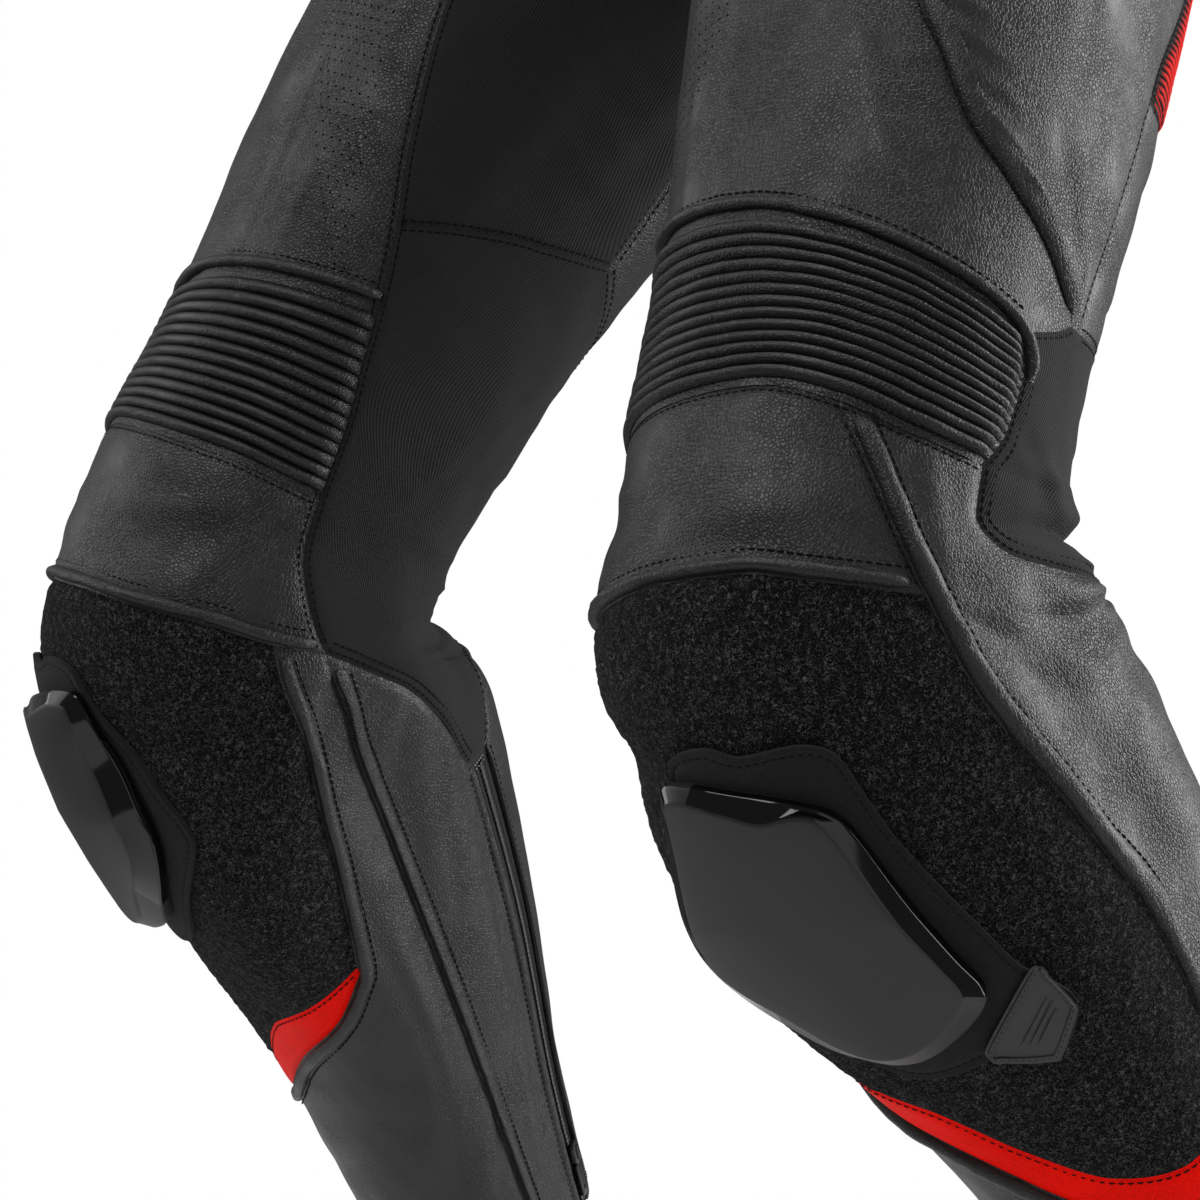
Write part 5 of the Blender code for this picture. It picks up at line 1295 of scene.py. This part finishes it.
def soft_block(name, middle, axes, size, bevel, body=BODY, hole=None, replaces=None):
    """A small metal block with rounded edges, and a hole through it where it has one."""
    wide, long, high = size
    corner = min(wide, long) * 0.3
    outline = np.array([(cx * (wide / 2 - corner) + corner * math.cos(math.radians(a)),
                         cy * (long / 2 - corner) + corner * math.sin(math.radians(a)))
                        for cx, cy, first in ((1, 1, 0), (-1, 1, 90), (-1, -1, 180), (1, -1, 270))
                        for a in np.linspace(first, first + 90, 10)])
    levels = ((-high / 2, bevel), (-high / 2 + bevel * 0.3, bevel * 0.3), (-high / 2 + bevel, 0),
              (high / 2 - bevel, 0), (high / 2 - bevel * 0.3, bevel * 0.3), (high / 2, bevel))
    flat = [(rise, outline * (1 - 2 * inset / np.array([wide, long]))) for rise, inset in levels]
    if hole:
        place, radius = hole
        turn = np.arctan2(outline[:, 1], outline[:, 0])
        ring = np.stack([np.cos(turn), np.sin(turn)], -1) * radius + (0, place)
        flat += [(high / 2, ring), (-high / 2, ring)]
    rings = [middle + line[:, :1] * axes[0] + line[:, 1:] * axes[1] + axes[2] * rise for rise, line in flat]
    number = numbered(np.array(rings))
    if hole:
        faces = round_faces(np.concatenate([number, number[:1]]))
    else:
        faces = round_faces(number) + [tuple(number[0])[::-1], tuple(number[-1])]
    new_piece(name, np.concatenate(rings), faces, "metal", replaces=replaces, sharp=35, body=body,
              turn_out=True)


def zip_hardware(leg):
    """The runner at the closed zip's lower end, and its pull, hinged across the runner's end."""
    flip = np.array([LEGS[leg], 1, 1])
    angle = float(smooth(RUNNER_ROW, ZIP_OUTER_EDGE) + smooth(RUNNER_ROW, ZIP_INNER_EDGE)) / 2
    place = np.array([RUNNER_ROW, angle])
    up = facing(*place)
    along = unit(cloth(place + (0.1, 0), creased=False) - cloth(place - (0.1, 0), creased=False))
    along = unit(along - (along @ up) * up)
    axes = [a * flip for a in (np.cross(along, up), along, up)]
    runner = cloth(place, -ZIP_SINK + 1.0 + RUNNER_SIZE[2] / 2, creased=False)
    axle = runner + along * (RUNNER_SIZE[1] / 2 + PULL_AXLE)
    middle = axle + along * (PULL_SIZE[1] / 2 - PULL_HEAD)
    soft_block(f"zip_runner_{leg}_body", runner * flip, axes, RUNNER_SIZE, 0.9, replaces=f"zip_runner_{leg}")
    soft_block(f"zip_pull_{leg}_tab", middle * flip, axes, PULL_SIZE, 0.35, f"pull_{leg}", PULL_HOLE,
               f"zip_pull_{leg}")
    soft_block(f"zip_bridge_{leg}", (runner + up * 1.9) * flip, axes, BRIDGE_SIZE, 0.5)


def waistband():
    """The band round the waist, in one piece with both halves of the same shape."""
    rows = np.concatenate([[0, 0.01, 0.025], np.linspace(0.05, WAISTBAND_EDGE - 0.05, 9),
                           WAISTBAND_EDGE - np.array([0.025, 0.01, 0])])
    start, end = centre_angle(rows, False), centre_angle(rows, True)
    angle = start[:, None] + (end - start)[:, None] * np.linspace(0, 1, 121)
    places = np.stack([np.broadcast_to(rows[:, None], angle.shape), angle], -1)
    bare = skin(places[..., 0], places[..., 1])
    edge = np.minimum(rows, WAISTBAND_EDGE - rows) * ROW_LENGTH
    dip = SEAM_DIP * np.exp(-(edge / 2.2) ** 2)
    lift = DENT_DEPTH * rumple(bare, BAND_SEED, *BAND_DENTS) - dip[:, None]
    whole = []
    for rise in (lift, np.full(lift.shape, -LEATHER_WALL)):
        half = cloth(places, rise)
        half[:, 0, 0] = half[:, -1, 0] = 0
        right = (half * (-1, 1, 1))[:, ::-1]
        whole.append(np.concatenate([half, right[:, 1:-1]], axis=1))
    number = numbered(whole[0])
    n = number.size
    closed = np.concatenate([number, number[:, :1]], axis=1)
    cells = cells_of(closed)
    faces = [tuple(c) for c in cells] + turned(cells + n)
    faces += [(a, b, n + b, n + a) for a, b in zip(closed[0], closed[0][1:])]
    faces += [(n + a, n + b, b, a) for a, b in zip(closed[-1], closed[-1][1:])]
    points = np.concatenate([w.reshape(-1, 3) for w in whole])
    made = new_piece("waistband_panel", points, faces, "leather", replaces="waistband",
                     uv=np.zeros((len(points), 2)), worn=np.zeros(len(points)))


def fly():
    """The flap over the front opening, which reaches a little past the middle."""
    count, across = 60, 15
    layers = ([], [])
    rows = np.linspace(FLY_START, FLY_END, count)
    for k, row in enumerate(rows):
        wide = float(fly_width(k / (count - 1)))
        first = float(centre_angle(row, False))
        reach = np.linspace(FLY_OVERLAP, wide, across) / mm_per_degree(row, first)
        for layer, lift in zip(layers, (FLY_LIFT + LEATHER_WALL, FLY_LIFT - 1.3)):
            side = np.minimum(np.linspace(0, 1, across), np.linspace(1, 0, across)) * (wide - FLY_OVERLAP)
            end = min(k, count - 1 - k) * (rows[1] - rows[0]) * ROW_LENGTH
            drop = 0.9 * np.exp(-(np.minimum(side, end) / 1.6) ** 2) if lift > FLY_LIFT else 0
            points = cloth(np.stack([np.full(across, row), first + reach], -1), lift - drop, creased=False)
            points[0, 0] *= -1
            layer.append(points)
    cells = cells_of(numbered(np.array(layers[0])))
    n = count * across
    faces = [tuple(c) for c in cells] + turned(cells + n) + [(b, a, n + a, n + b) for a, b in rim_of(cells)]
    points = np.concatenate([np.concatenate(layer) for layer in layers])
    made = new_piece("fly_flap_panel", points, faces, "leather", replaces="fly_flap",
                     uv=np.zeros((len(points), 2)), worn=np.zeros(len(points)))
    rows = np.linspace(0.62, FLY_END - 0.25, 120)
    first = centre_angle(rows, False)
    per_degree = np.array([mm_per_degree(r, f) for r, f in zip(rows, first)])
    wide = fly_width((rows - FLY_START) / (FLY_END - FLY_START)) - 3.2
    for inset in (0.0, 5.0):
        line = np.stack([rows, first + (wide - inset) / per_degree], -1)
        stitch_line(line, "left", lift=FLY_LIFT + LEATHER_WALL - 0.1, dip=False)


def fly_width(share):
    """How far the fly flap reaches from the middle at a share of its length: it is narrower at its foot."""
    return np.interp(share, np.linspace(0, 1, 8), FLY_WIDTH * np.array([1, 1, 1, 1, 1, 1, 0.85, 0.5]))


def mm_per_degree(row, angle):
    return np.linalg.norm(skin(row, angle + 5) - skin(row, angle)) / 5


def waist_snap():
    """The cap of the press stud at the top of the fly flap."""
    place = np.array([SNAP_ROW, float(centre_angle(SNAP_ROW, False)) + SNAP_SETBACK])
    up = facing(*place)
    middle = cloth(place, FLY_LIFT + LEATHER_WALL + 0.4, creased=False)
    x = unit(np.cross(up, (0, 0, 1)))
    y = np.cross(up, x)
    turn = circle(40)[:, None]
    edge = (x * np.cos(turn) + y * np.sin(turn)) * SNAP_RADIUS
    rings = np.array([middle + edge * share + up * rise * SNAP_HEIGHT for share, rise in SNAP_SHAPE])
    number = numbered(rings)
    faces = round_faces(number) + [tuple(number[0])[::-1], tuple(number[-1])]
    new_piece("waist_snap_cap", rings.reshape(-1, 3), faces, "metal", replaces="waist_snap",
              turn_out=True)


# Materials -------------------------------------------------------------------------------------------------


FLOAT, COLOUR = "NodeSocketFloat", "NodeSocketColor"


def put(socket, value):
    """Wires an output to a socket, or gives the socket a value of its own."""
    if hasattr(value, "is_output"):
        socket.id_data.links.new(value, socket)
    else:
        socket.default_value = value


def add_node(tree, kind, values=(), **settings):
    made = tree.nodes.new(kind)
    for key, value in settings.items():
        setattr(made, key, value)
    for name, value in dict(values).items():
        put(made.inputs[name], value)
    return made


def maths(operation, a, b=0.0):
    tree = (a if hasattr(a, "is_output") else b).id_data
    return add_node(tree, "ShaderNodeMath", {0: a, 1: b}, operation=operation).outputs[0]


def times(a, b):
    return maths("MULTIPLY", a, b)


def plus(a, b):
    return maths("ADD", a, b)


def less(a, b):
    return maths("SUBTRACT", a, b)


def least(a, b):
    return maths("MINIMUM", a, b)


def most(a, b):
    return maths("MAXIMUM", a, b)


def mixed(share, a, b):
    """A colour between two others."""
    return add_node(share.id_data, "ShaderNodeMix", {0: share, 6: a, 7: b}, data_type="RGBA").outputs[2]


def moved(operation, vector, by):
    """A place or a colour, scaled, added to or multiplied by another."""
    return add_node(vector.id_data, "ShaderNodeVectorMath", {0: vector, 3 if operation == "SCALE" else 1: by},
                    operation=operation).outputs[0]


def noise(place, scale, detail, **more):
    """A node with uneven noise over places."""
    values = {"Vector": place, "Scale": scale, "Detail": detail, **more}
    return add_node(place.id_data, "ShaderNodeTexNoise", values)


def own_place(tree):
    return add_node(tree, "ShaderNodeTexCoord").outputs["Object"]


def group(name, inputs, outputs):
    """An empty node group with named sockets: its tree, what it is given and what it makes."""
    tree = bpy.data.node_groups.new(name, "ShaderNodeTree")
    for label, value in inputs.items():
        socket = tree.interface.new_socket(name=label, in_out="INPUT", socket_type=kind_of(value))
        socket.default_value = value
    for label, kind in outputs.items():
        tree.interface.new_socket(name=label, in_out="OUTPUT", socket_type=kind)
    return tree, tree.nodes.new("NodeGroupInput").outputs, tree.nodes.new("NodeGroupOutput").inputs


def kind_of(value):
    return COLOUR if isinstance(value, tuple) else FLOAT


def grain_group():
    """Pebbled grain with fine wrinkles that run down the leg, pores, and large soft clouds of tone."""
    tree, given, made = group("leather grain", {
        "Cells per metre": 800.0, "Pebble": 1.0, "Wrinkle": 0.6, "Pore": 0.35},
        {"Height": FLOAT, "Clouds": FLOAT, "Crests": FLOAT, "Pores": FLOAT})
    place = own_place(tree)
    warp = noise(place, 230.0, 1.0).outputs["Color"]
    warped = moved("ADD", place, moved("SCALE", warp, 0.0013))
    cells = add_node(tree, "ShaderNodeTexVoronoi", {
        "Vector": warped, "Scale": given["Cells per metre"], "Randomness": 0.95}, feature="DISTANCE_TO_EDGE")
    pores = noise(place, 1900.0, 2.0).outputs[0]
    patches = noise(place, 34.0, 3.0).outputs[0]
    lines = noise(moved("MULTIPLY", warped, (1.0, 1.0, 0.4)), 330.0, 2.0, Roughness=0.55).outputs[0]
    furrow = least(times(maths("ABSOLUTE", less(lines, 0.5)), 9.0), 1.0)
    edge = least(times(cells.outputs["Distance"], 3.2), 1.0)
    depth = most(less(times(patches, 2.2), 0.45), 0.15)
    strength = times(least(depth, 1.0), given["Pebble"])
    pebble = times(times(edge, less(2.0, edge)), strength)
    height = plus(pebble, times(furrow, given["Wrinkle"]))
    put(made["Height"], plus(height, times(pores, given["Pore"])))
    put(made["Clouds"], noise(place, 9.0, 3.0).outputs[0])
    # Crests is low in the grain's crevices, where the wear group paints shade into the colour.
    put(made["Crests"], less(1.0, times(less(1.0, edge), strength)))
    put(made["Pores"], pores)
    return tree


def wear_group():
    """Tone of a hide: crests of its grain a little lighter and its crevices darker, as painted shade in the
    crevices, and folds and seam edges rubbed smoother.
    """
    tree, given, made = group("soft wear", {
        "Colour": (0, 0, 0, 1), "Rubbed colour": (1, 1, 1, 1), "Roughness": 0.5, "Rubbed roughness": 0.4,
        "Amount": 0.5, "Clouds": 0.5, "Crests": 0.5}, {"Colour": COLOUR, "Roughness": FLOAT})
    worn = add_node(tree, "ShaderNodeAttribute", attribute_name="worn").outputs["Fac"]
    spots = noise(own_place(tree), 120.0, 4.0).outputs[0]
    share = times(times(worn, plus(spots, 0.3)), given["Amount"])
    # Painted shade: the colour darkens in the grain's crevices, where Crests is low; the clouds are random
    # tone.
    tone = plus(times(given["Clouds"], 0.3), times(given["Crests"], 0.85))
    put(made["Colour"], mixed(share, moved("SCALE", given["Colour"], tone), given["Rubbed colour"]))
    rubbed = plus(given["Roughness"], times(less(given["Rubbed roughness"], given["Roughness"]), share))
    cloudy = times(less(given["Clouds"], 0.5), 0.08)
    crest = times(less(given["Crests"], 0.5), -0.12)
    put(made["Roughness"], plus(rubbed, plus(cloudy, crest)))
    return tree


def knit_group():
    """Knit or woven ribs along the cut: fine slanted wales with a crossing thread."""
    tree, given, made = group("knit", {"Wales per metre": 700.0, "Slant": 0.35, "Courses per metre": 1100.0},
                              {"Height": FLOAT, "Fuzz": FLOAT})
    uv = add_node(tree, "ShaderNodeUVMap", uv_map="cut").outputs[0]
    across, along = add_node(tree, "ShaderNodeSeparateXYZ", {"Vector": uv}).outputs[:2]
    slanted = plus(across, times(along, given["Slant"]))
    wale = maths("SINE", times(times(slanted, given["Wales per metre"]), 2 * math.pi))
    course = maths("SINE", times(times(along, given["Courses per metre"]), 2 * math.pi))
    fuzz = noise(own_place(tree), 1500.0, 3.0).outputs[0]
    put(made["Height"], plus(plus(times(wale, 0.5), times(course, 0.22)), times(fuzz, 0.5)))
    put(made["Fuzz"], fuzz)
    return tree


def nap_group():
    """Short nap in uneven tufts: its curled fibres painted pale as highlight, over hollows painted dark as
    shade.
    """
    tree, given, made = group("nap", {"Tufts per metre": 420.0, "Curl": 1.0},
                              {"Height": FLOAT, "Fibre_highlight": FLOAT})
    place = own_place(tree)
    tufts = noise(place, given["Tufts per metre"], 2.0, Roughness=0.5).outputs[0]
    curls = noise(place, times(given["Tufts per metre"], 2.6), 1.0, Roughness=0.6, Distortion=1.6).outputs[0]
    line = least(most(times(less(curls, 0.5), given["Curl"]), 0.0), 1.0)
    clump = most(less(times(tufts, 3.0), 0.8), 0.2)
    put(made["Height"], plus(tufts, times(line, 0.5)))
    # Painted highlight on the curled fibres; the rest stays dark as painted shade in the hollows.
    put(made["Fibre_highlight"], least(times(clump, line), 1.0))
    return tree


def rib_group():
    """Colour of knitted ribs: the raised part of each rib in the crest colour, darker towards the furrows and
    the panel's rim.
    """
    tree, given, made = group("two-colour ribs", {"Ground": (0, 0, 0, 1), "Crest": (1, 0, 0, 1), "Fuzz": 0.5},
                              {"Colour": COLOUR})
    raised = add_node(tree, "ShaderNodeAttribute", attribute_name="worn").outputs["Fac"]
    edge = plus(times(raised, 3.4), times(given["Fuzz"], 0.4))
    share = least(most(less(edge, 0.35), 0.0), 1.0)
    put(made["Colour"], mixed(share, given["Ground"], given["Crest"]))
    return tree


MATERIALS, GROUPS = {}, {}


def new_material(name, rough=0.5, specular=0.5, sheen=(0.0, 0.5), metallic=0.0):
    """A material with its shader's own values; gives its tree and the shader's inputs."""
    made = bpy.data.materials.new(name)
    made.use_nodes = True
    MATERIALS[name] = made
    inputs = made.node_tree.nodes["Principled BSDF"].inputs
    for label, value in (("Roughness", rough), ("Specular IOR Level", specular), ("Sheen Weight", sheen[0]),
                         ("Sheen Roughness", sheen[1]), ("Metallic", metallic)):
        inputs[label].default_value = value
    return made.node_tree, inputs


def placed(tree, kind, **values):
    """The outputs of a node group in a material, with this material's own values."""
    made = tree.nodes.new("ShaderNodeGroup")
    made.node_tree = GROUPS[kind]
    for label, value in values.items():
        put(made.inputs[label.replace("_", " ")], value)
    return made.outputs


def bumped(shader, height, strength, distance):
    bump = add_node(height.id_data, "ShaderNodeBump", {
        "Height": height, "Strength": strength, "Distance": distance})
    put(shader["Normal"], bump.outputs["Normal"])


def leather_material(name, colour, rubbed, rough, rubbed_rough, cells=800.0, pebble=1.0, wrinkle=0.2,
                     depth=0.0005, specular=0.5):
    tree, shader = new_material(name, specular=specular)
    grain = placed(tree, "grain", Cells_per_metre=cells, Pebble=pebble, Wrinkle=wrinkle, Pore=0.08)
    wear = placed(tree, "wear", Colour=(*colour, 1), Rubbed_colour=(*rubbed, 1), Roughness=rough,
                  Rubbed_roughness=rubbed_rough, Amount=0.5, Clouds=grain["Clouds"], Crests=grain["Crests"])
    put(shader["Base Color"], wear["Colour"])
    put(shader["Roughness"], wear["Roughness"])
    bumped(shader, grain["Height"], 0.8, depth)


def knit_material(name, dark, light, wales, slant, courses, rough, depth, sheen):
    tree, shader = new_material(name, rough, 0.25, (sheen, 0.5))
    knit = placed(tree, "knit", Wales_per_metre=wales, Slant=slant, Courses_per_metre=courses)
    put(shader["Base Color"], mixed(knit["Fuzz"], (*dark, 1), (*light, 1)))
    bumped(shader, knit["Height"], 0.6, depth)


def rib_material(name, ground, crest, rough, depth):
    tree, shader = new_material(name, rough, 0.12)
    knit = placed(tree, "knit", Wales_per_metre=900.0, Slant=0.0, Courses_per_metre=900.0)
    ribs = placed(tree, "ribs", Ground=(*ground, 1), Crest=(*crest, 1), Fuzz=knit["Fuzz"])
    put(shader["Base Color"], ribs["Colour"])
    bumped(shader, knit["Height"], 0.5, depth)


def nap_material(name, dark, light, tufts, curl, rough, depth, sheen):
    tree, shader = new_material(name, rough, 0.08, (sheen, 0.6))
    nap = placed(tree, "nap", Tufts_per_metre=tufts, Curl=curl)
    # The light colour is painted highlight on the nap's fibres, the dark one painted shade in its hollows.
    put(shader["Base Color"], mixed(nap["Fibre_highlight"], (*dark, 1), (*light, 1)))
    bumped(shader, nap["Height"], 0.9, depth)


def plain_material(name, colour, rough, speckle, depth, metallic=0.0, specular=0.5):
    """Moulded or coated surface with a fine speckle in its gloss."""
    tree, shader = new_material(name, specular=specular, metallic=metallic)
    grain = placed(tree, "grain", Cells_per_metre=1500.0, Pore=0.6)
    put(shader["Roughness"], plus(times(grain["Clouds"], speckle), rough - speckle / 2))
    light = tuple(c * 1.25 for c in colour)
    put(shader["Base Color"], mixed(grain["Pores"], (*colour, 1), (*light, 1)))
    bumped(shader, grain["Pores"], 0.4, depth)


def make_materials():
    GROUPS.update(grain=grain_group(), wear=wear_group(), knit=knit_group(), nap=nap_group(),
                  ribs=rib_group())
    leather_material("leather", (0.0102, 0.0102, 0.0107), (0.0155, 0.0155, 0.0163), 0.47, 0.4, cells=600.0,
                     wrinkle=0.12, depth=0.00036, specular=0.4)
    leather_material("red_leather", (0.92, 0.004, 0.0), (0.92, 0.008, 0.002), 0.6, 0.55, pebble=0.4,
                     wrinkle=0.1, depth=0.0002, specular=0.05)
    knit_material("stretch", (0.0045, 0.0045, 0.005), (0.013, 0.013, 0.014), 620.0, 0.3, 900.0, 0.85,
                  0.0004, 0.03)
    rib_material("red_ribs", (0.006, 0.004, 0.004), (0.66, 0.006, 0.003), 0.7, 0.0002)
    knit_material("zip_tape", (0.004, 0.004, 0.004), (0.012, 0.012, 0.0125), 1200.0, 0.8, 1200.0, 0.7,
                  0.0001, 0.02)
    nap_material("loop", (0.0022, 0.0022, 0.0022), (0.085, 0.085, 0.085), 340.0, 7.0, 1.0, 0.001, 0.02)
    nap_material("suede", (0.0095, 0.0095, 0.0099), (0.03, 0.03, 0.031), 900.0, 4.0, 0.9, 0.0002, 0.05)
    plain_material("slider", (0.0085, 0.0085, 0.0088), 0.46, 0.12, 0.00008, specular=0.4)
    plain_material("slider_bevel", (0.002, 0.002, 0.0023), 0.1, 0.04, 0.00001, specular=0.4)
    plain_material("rubber", (0.009, 0.009, 0.0094), 0.5, 0.1, 0.00006)
    plain_material("coil", (0.005, 0.005, 0.005), 0.34, 0.08, 0.00002)
    plain_material("metal", (0.02, 0.02, 0.021), 0.34, 0.12, 0.00002, metallic=0.6)
    plain_material("thread", (0.0022, 0.0022, 0.0024), 0.7, 0.05, 0.00005, specular=0.08)
    plain_material("white_thread", (0.6, 0.6, 0.58), 0.6, 0.1, 0.00005)
    plain_material("red_thread", (0.6, 0.005, 0.003), 0.6, 0.1, 0.00005, specular=0.1)
    # Painted shade: a near-black matte finish for the inside of the punched holes.
    plain_material("hole", (0.001, 0.001, 0.001), 0.95, 0.05, 0.00001, specular=0.0)
    plain_material("pale", (0.82, 0.82, 0.82), 0.75, 0.05, 0.00001, specular=0.2)


# Stage -----------------------------------------------------------------------------------------------------


def area_light(name, place, target, size, power):
    data = bpy.data.lights.new(name, "AREA")
    data.shape = "RECTANGLE"
    data.size, data.size_y = size
    data.energy = power
    made = bpy.data.objects.new(name, data)
    made.matrix_world = looking(place, target - place)
    bpy.context.scene.collection.objects.link(made)


def looking(place, toward):
    """A frame at a place whose -Z looks a way, with its X level."""
    z = -unit(toward)
    x = unit(np.cross((0, 0, 1.0), z))
    y = np.cross(z, x)
    return Matrix([(x[k], y[k], z[k], place[k]) for k in range(3)] + [(0, 0, 0, 1)])


def stage():
    """Pale floor, white surroundings, soft lights and the photograph's camera."""
    bearing = math.radians(LEG_BEARING)
    right = np.array([math.cos(bearing), math.sin(bearing), 0])
    ahead = np.array([-math.sin(bearing), math.cos(bearing), 0])
    middle = np.array(CAMERA_PLACE)
    data = bpy.data.cameras.new("photograph")
    data.lens = CAMERA_LENS
    data.sensor_width = 36.0
    camera = bpy.data.objects.new("photograph", data)
    camera.matrix_world = looking(middle + right * CAMERA_ACROSS - ahead * CAMERA_BACK, ahead)
    bpy.context.scene.collection.objects.link(camera)
    bpy.context.scene.camera = camera

    rim = [(math.cos(a) * FLOOR_RADIUS, FLOOR_BACK + math.sin(a) * FLOOR_RADIUS, FLOOR_LEVEL)
           for a in circle(64)]
    mesh = bpy.data.meshes.new("floor")
    mesh.from_pydata((np.array(rim) * MM).tolist(), [], [tuple(range(64))])
    mesh.materials.append(MATERIALS["pale"])
    floor = bpy.data.objects.new("floor", mesh)
    bpy.context.scene.collection.objects.link(floor)

    world = bpy.data.worlds.new("studio")
    world.use_nodes = True
    tree = world.node_tree
    tree.nodes.clear()
    path = add_node(tree, "ShaderNodeLightPath")
    lit, seen = (add_node(tree, "ShaderNodeBackground", {"Color": (1, 1, 1, 1), "Strength": strength})
                 for strength in (SURROUNDINGS, 1.0))
    both = add_node(tree, "ShaderNodeMixShader", {0: path.outputs["Is Camera Ray"], 1: lit.outputs[0],
                                                  2: seen.outputs[0]})
    add_node(tree, "ShaderNodeOutputWorld", {0: both.outputs[0]})
    bpy.context.scene.world = world
    bpy.context.scene.view_settings.view_transform = "Standard"

    knee = middle + (0, 0, 0.02)
    for name, (forward, across, rise, size, power) in LIGHTS.items():
        area_light(name, knee + ahead * forward + right * across + (0, 0, rise), knee, size, power)


def main():
    make_materials()
    for leg in LEGS:
        seat_furrows = upper_panels(leg)
        rib_furrows = knee_panels(leg)
        calf_panels(leg)
        trims(leg)
        punched_holes(leg)
        slider_parts(leg)
        zip_coil(leg)
        zip_hardware(leg)
        stitching(leg, rib_furrows, seat_furrows)
    waistband()
    fly()
    waist_snap()
    for leg in LEGS:
        sew("stitching", THREADS, leg, "thread")
        sew("zip_tacks", ZIP_TACKS, leg, "white_thread")
        sew("seat_tacks", RED_TACKS, leg, "red_thread")
    stage()


main()
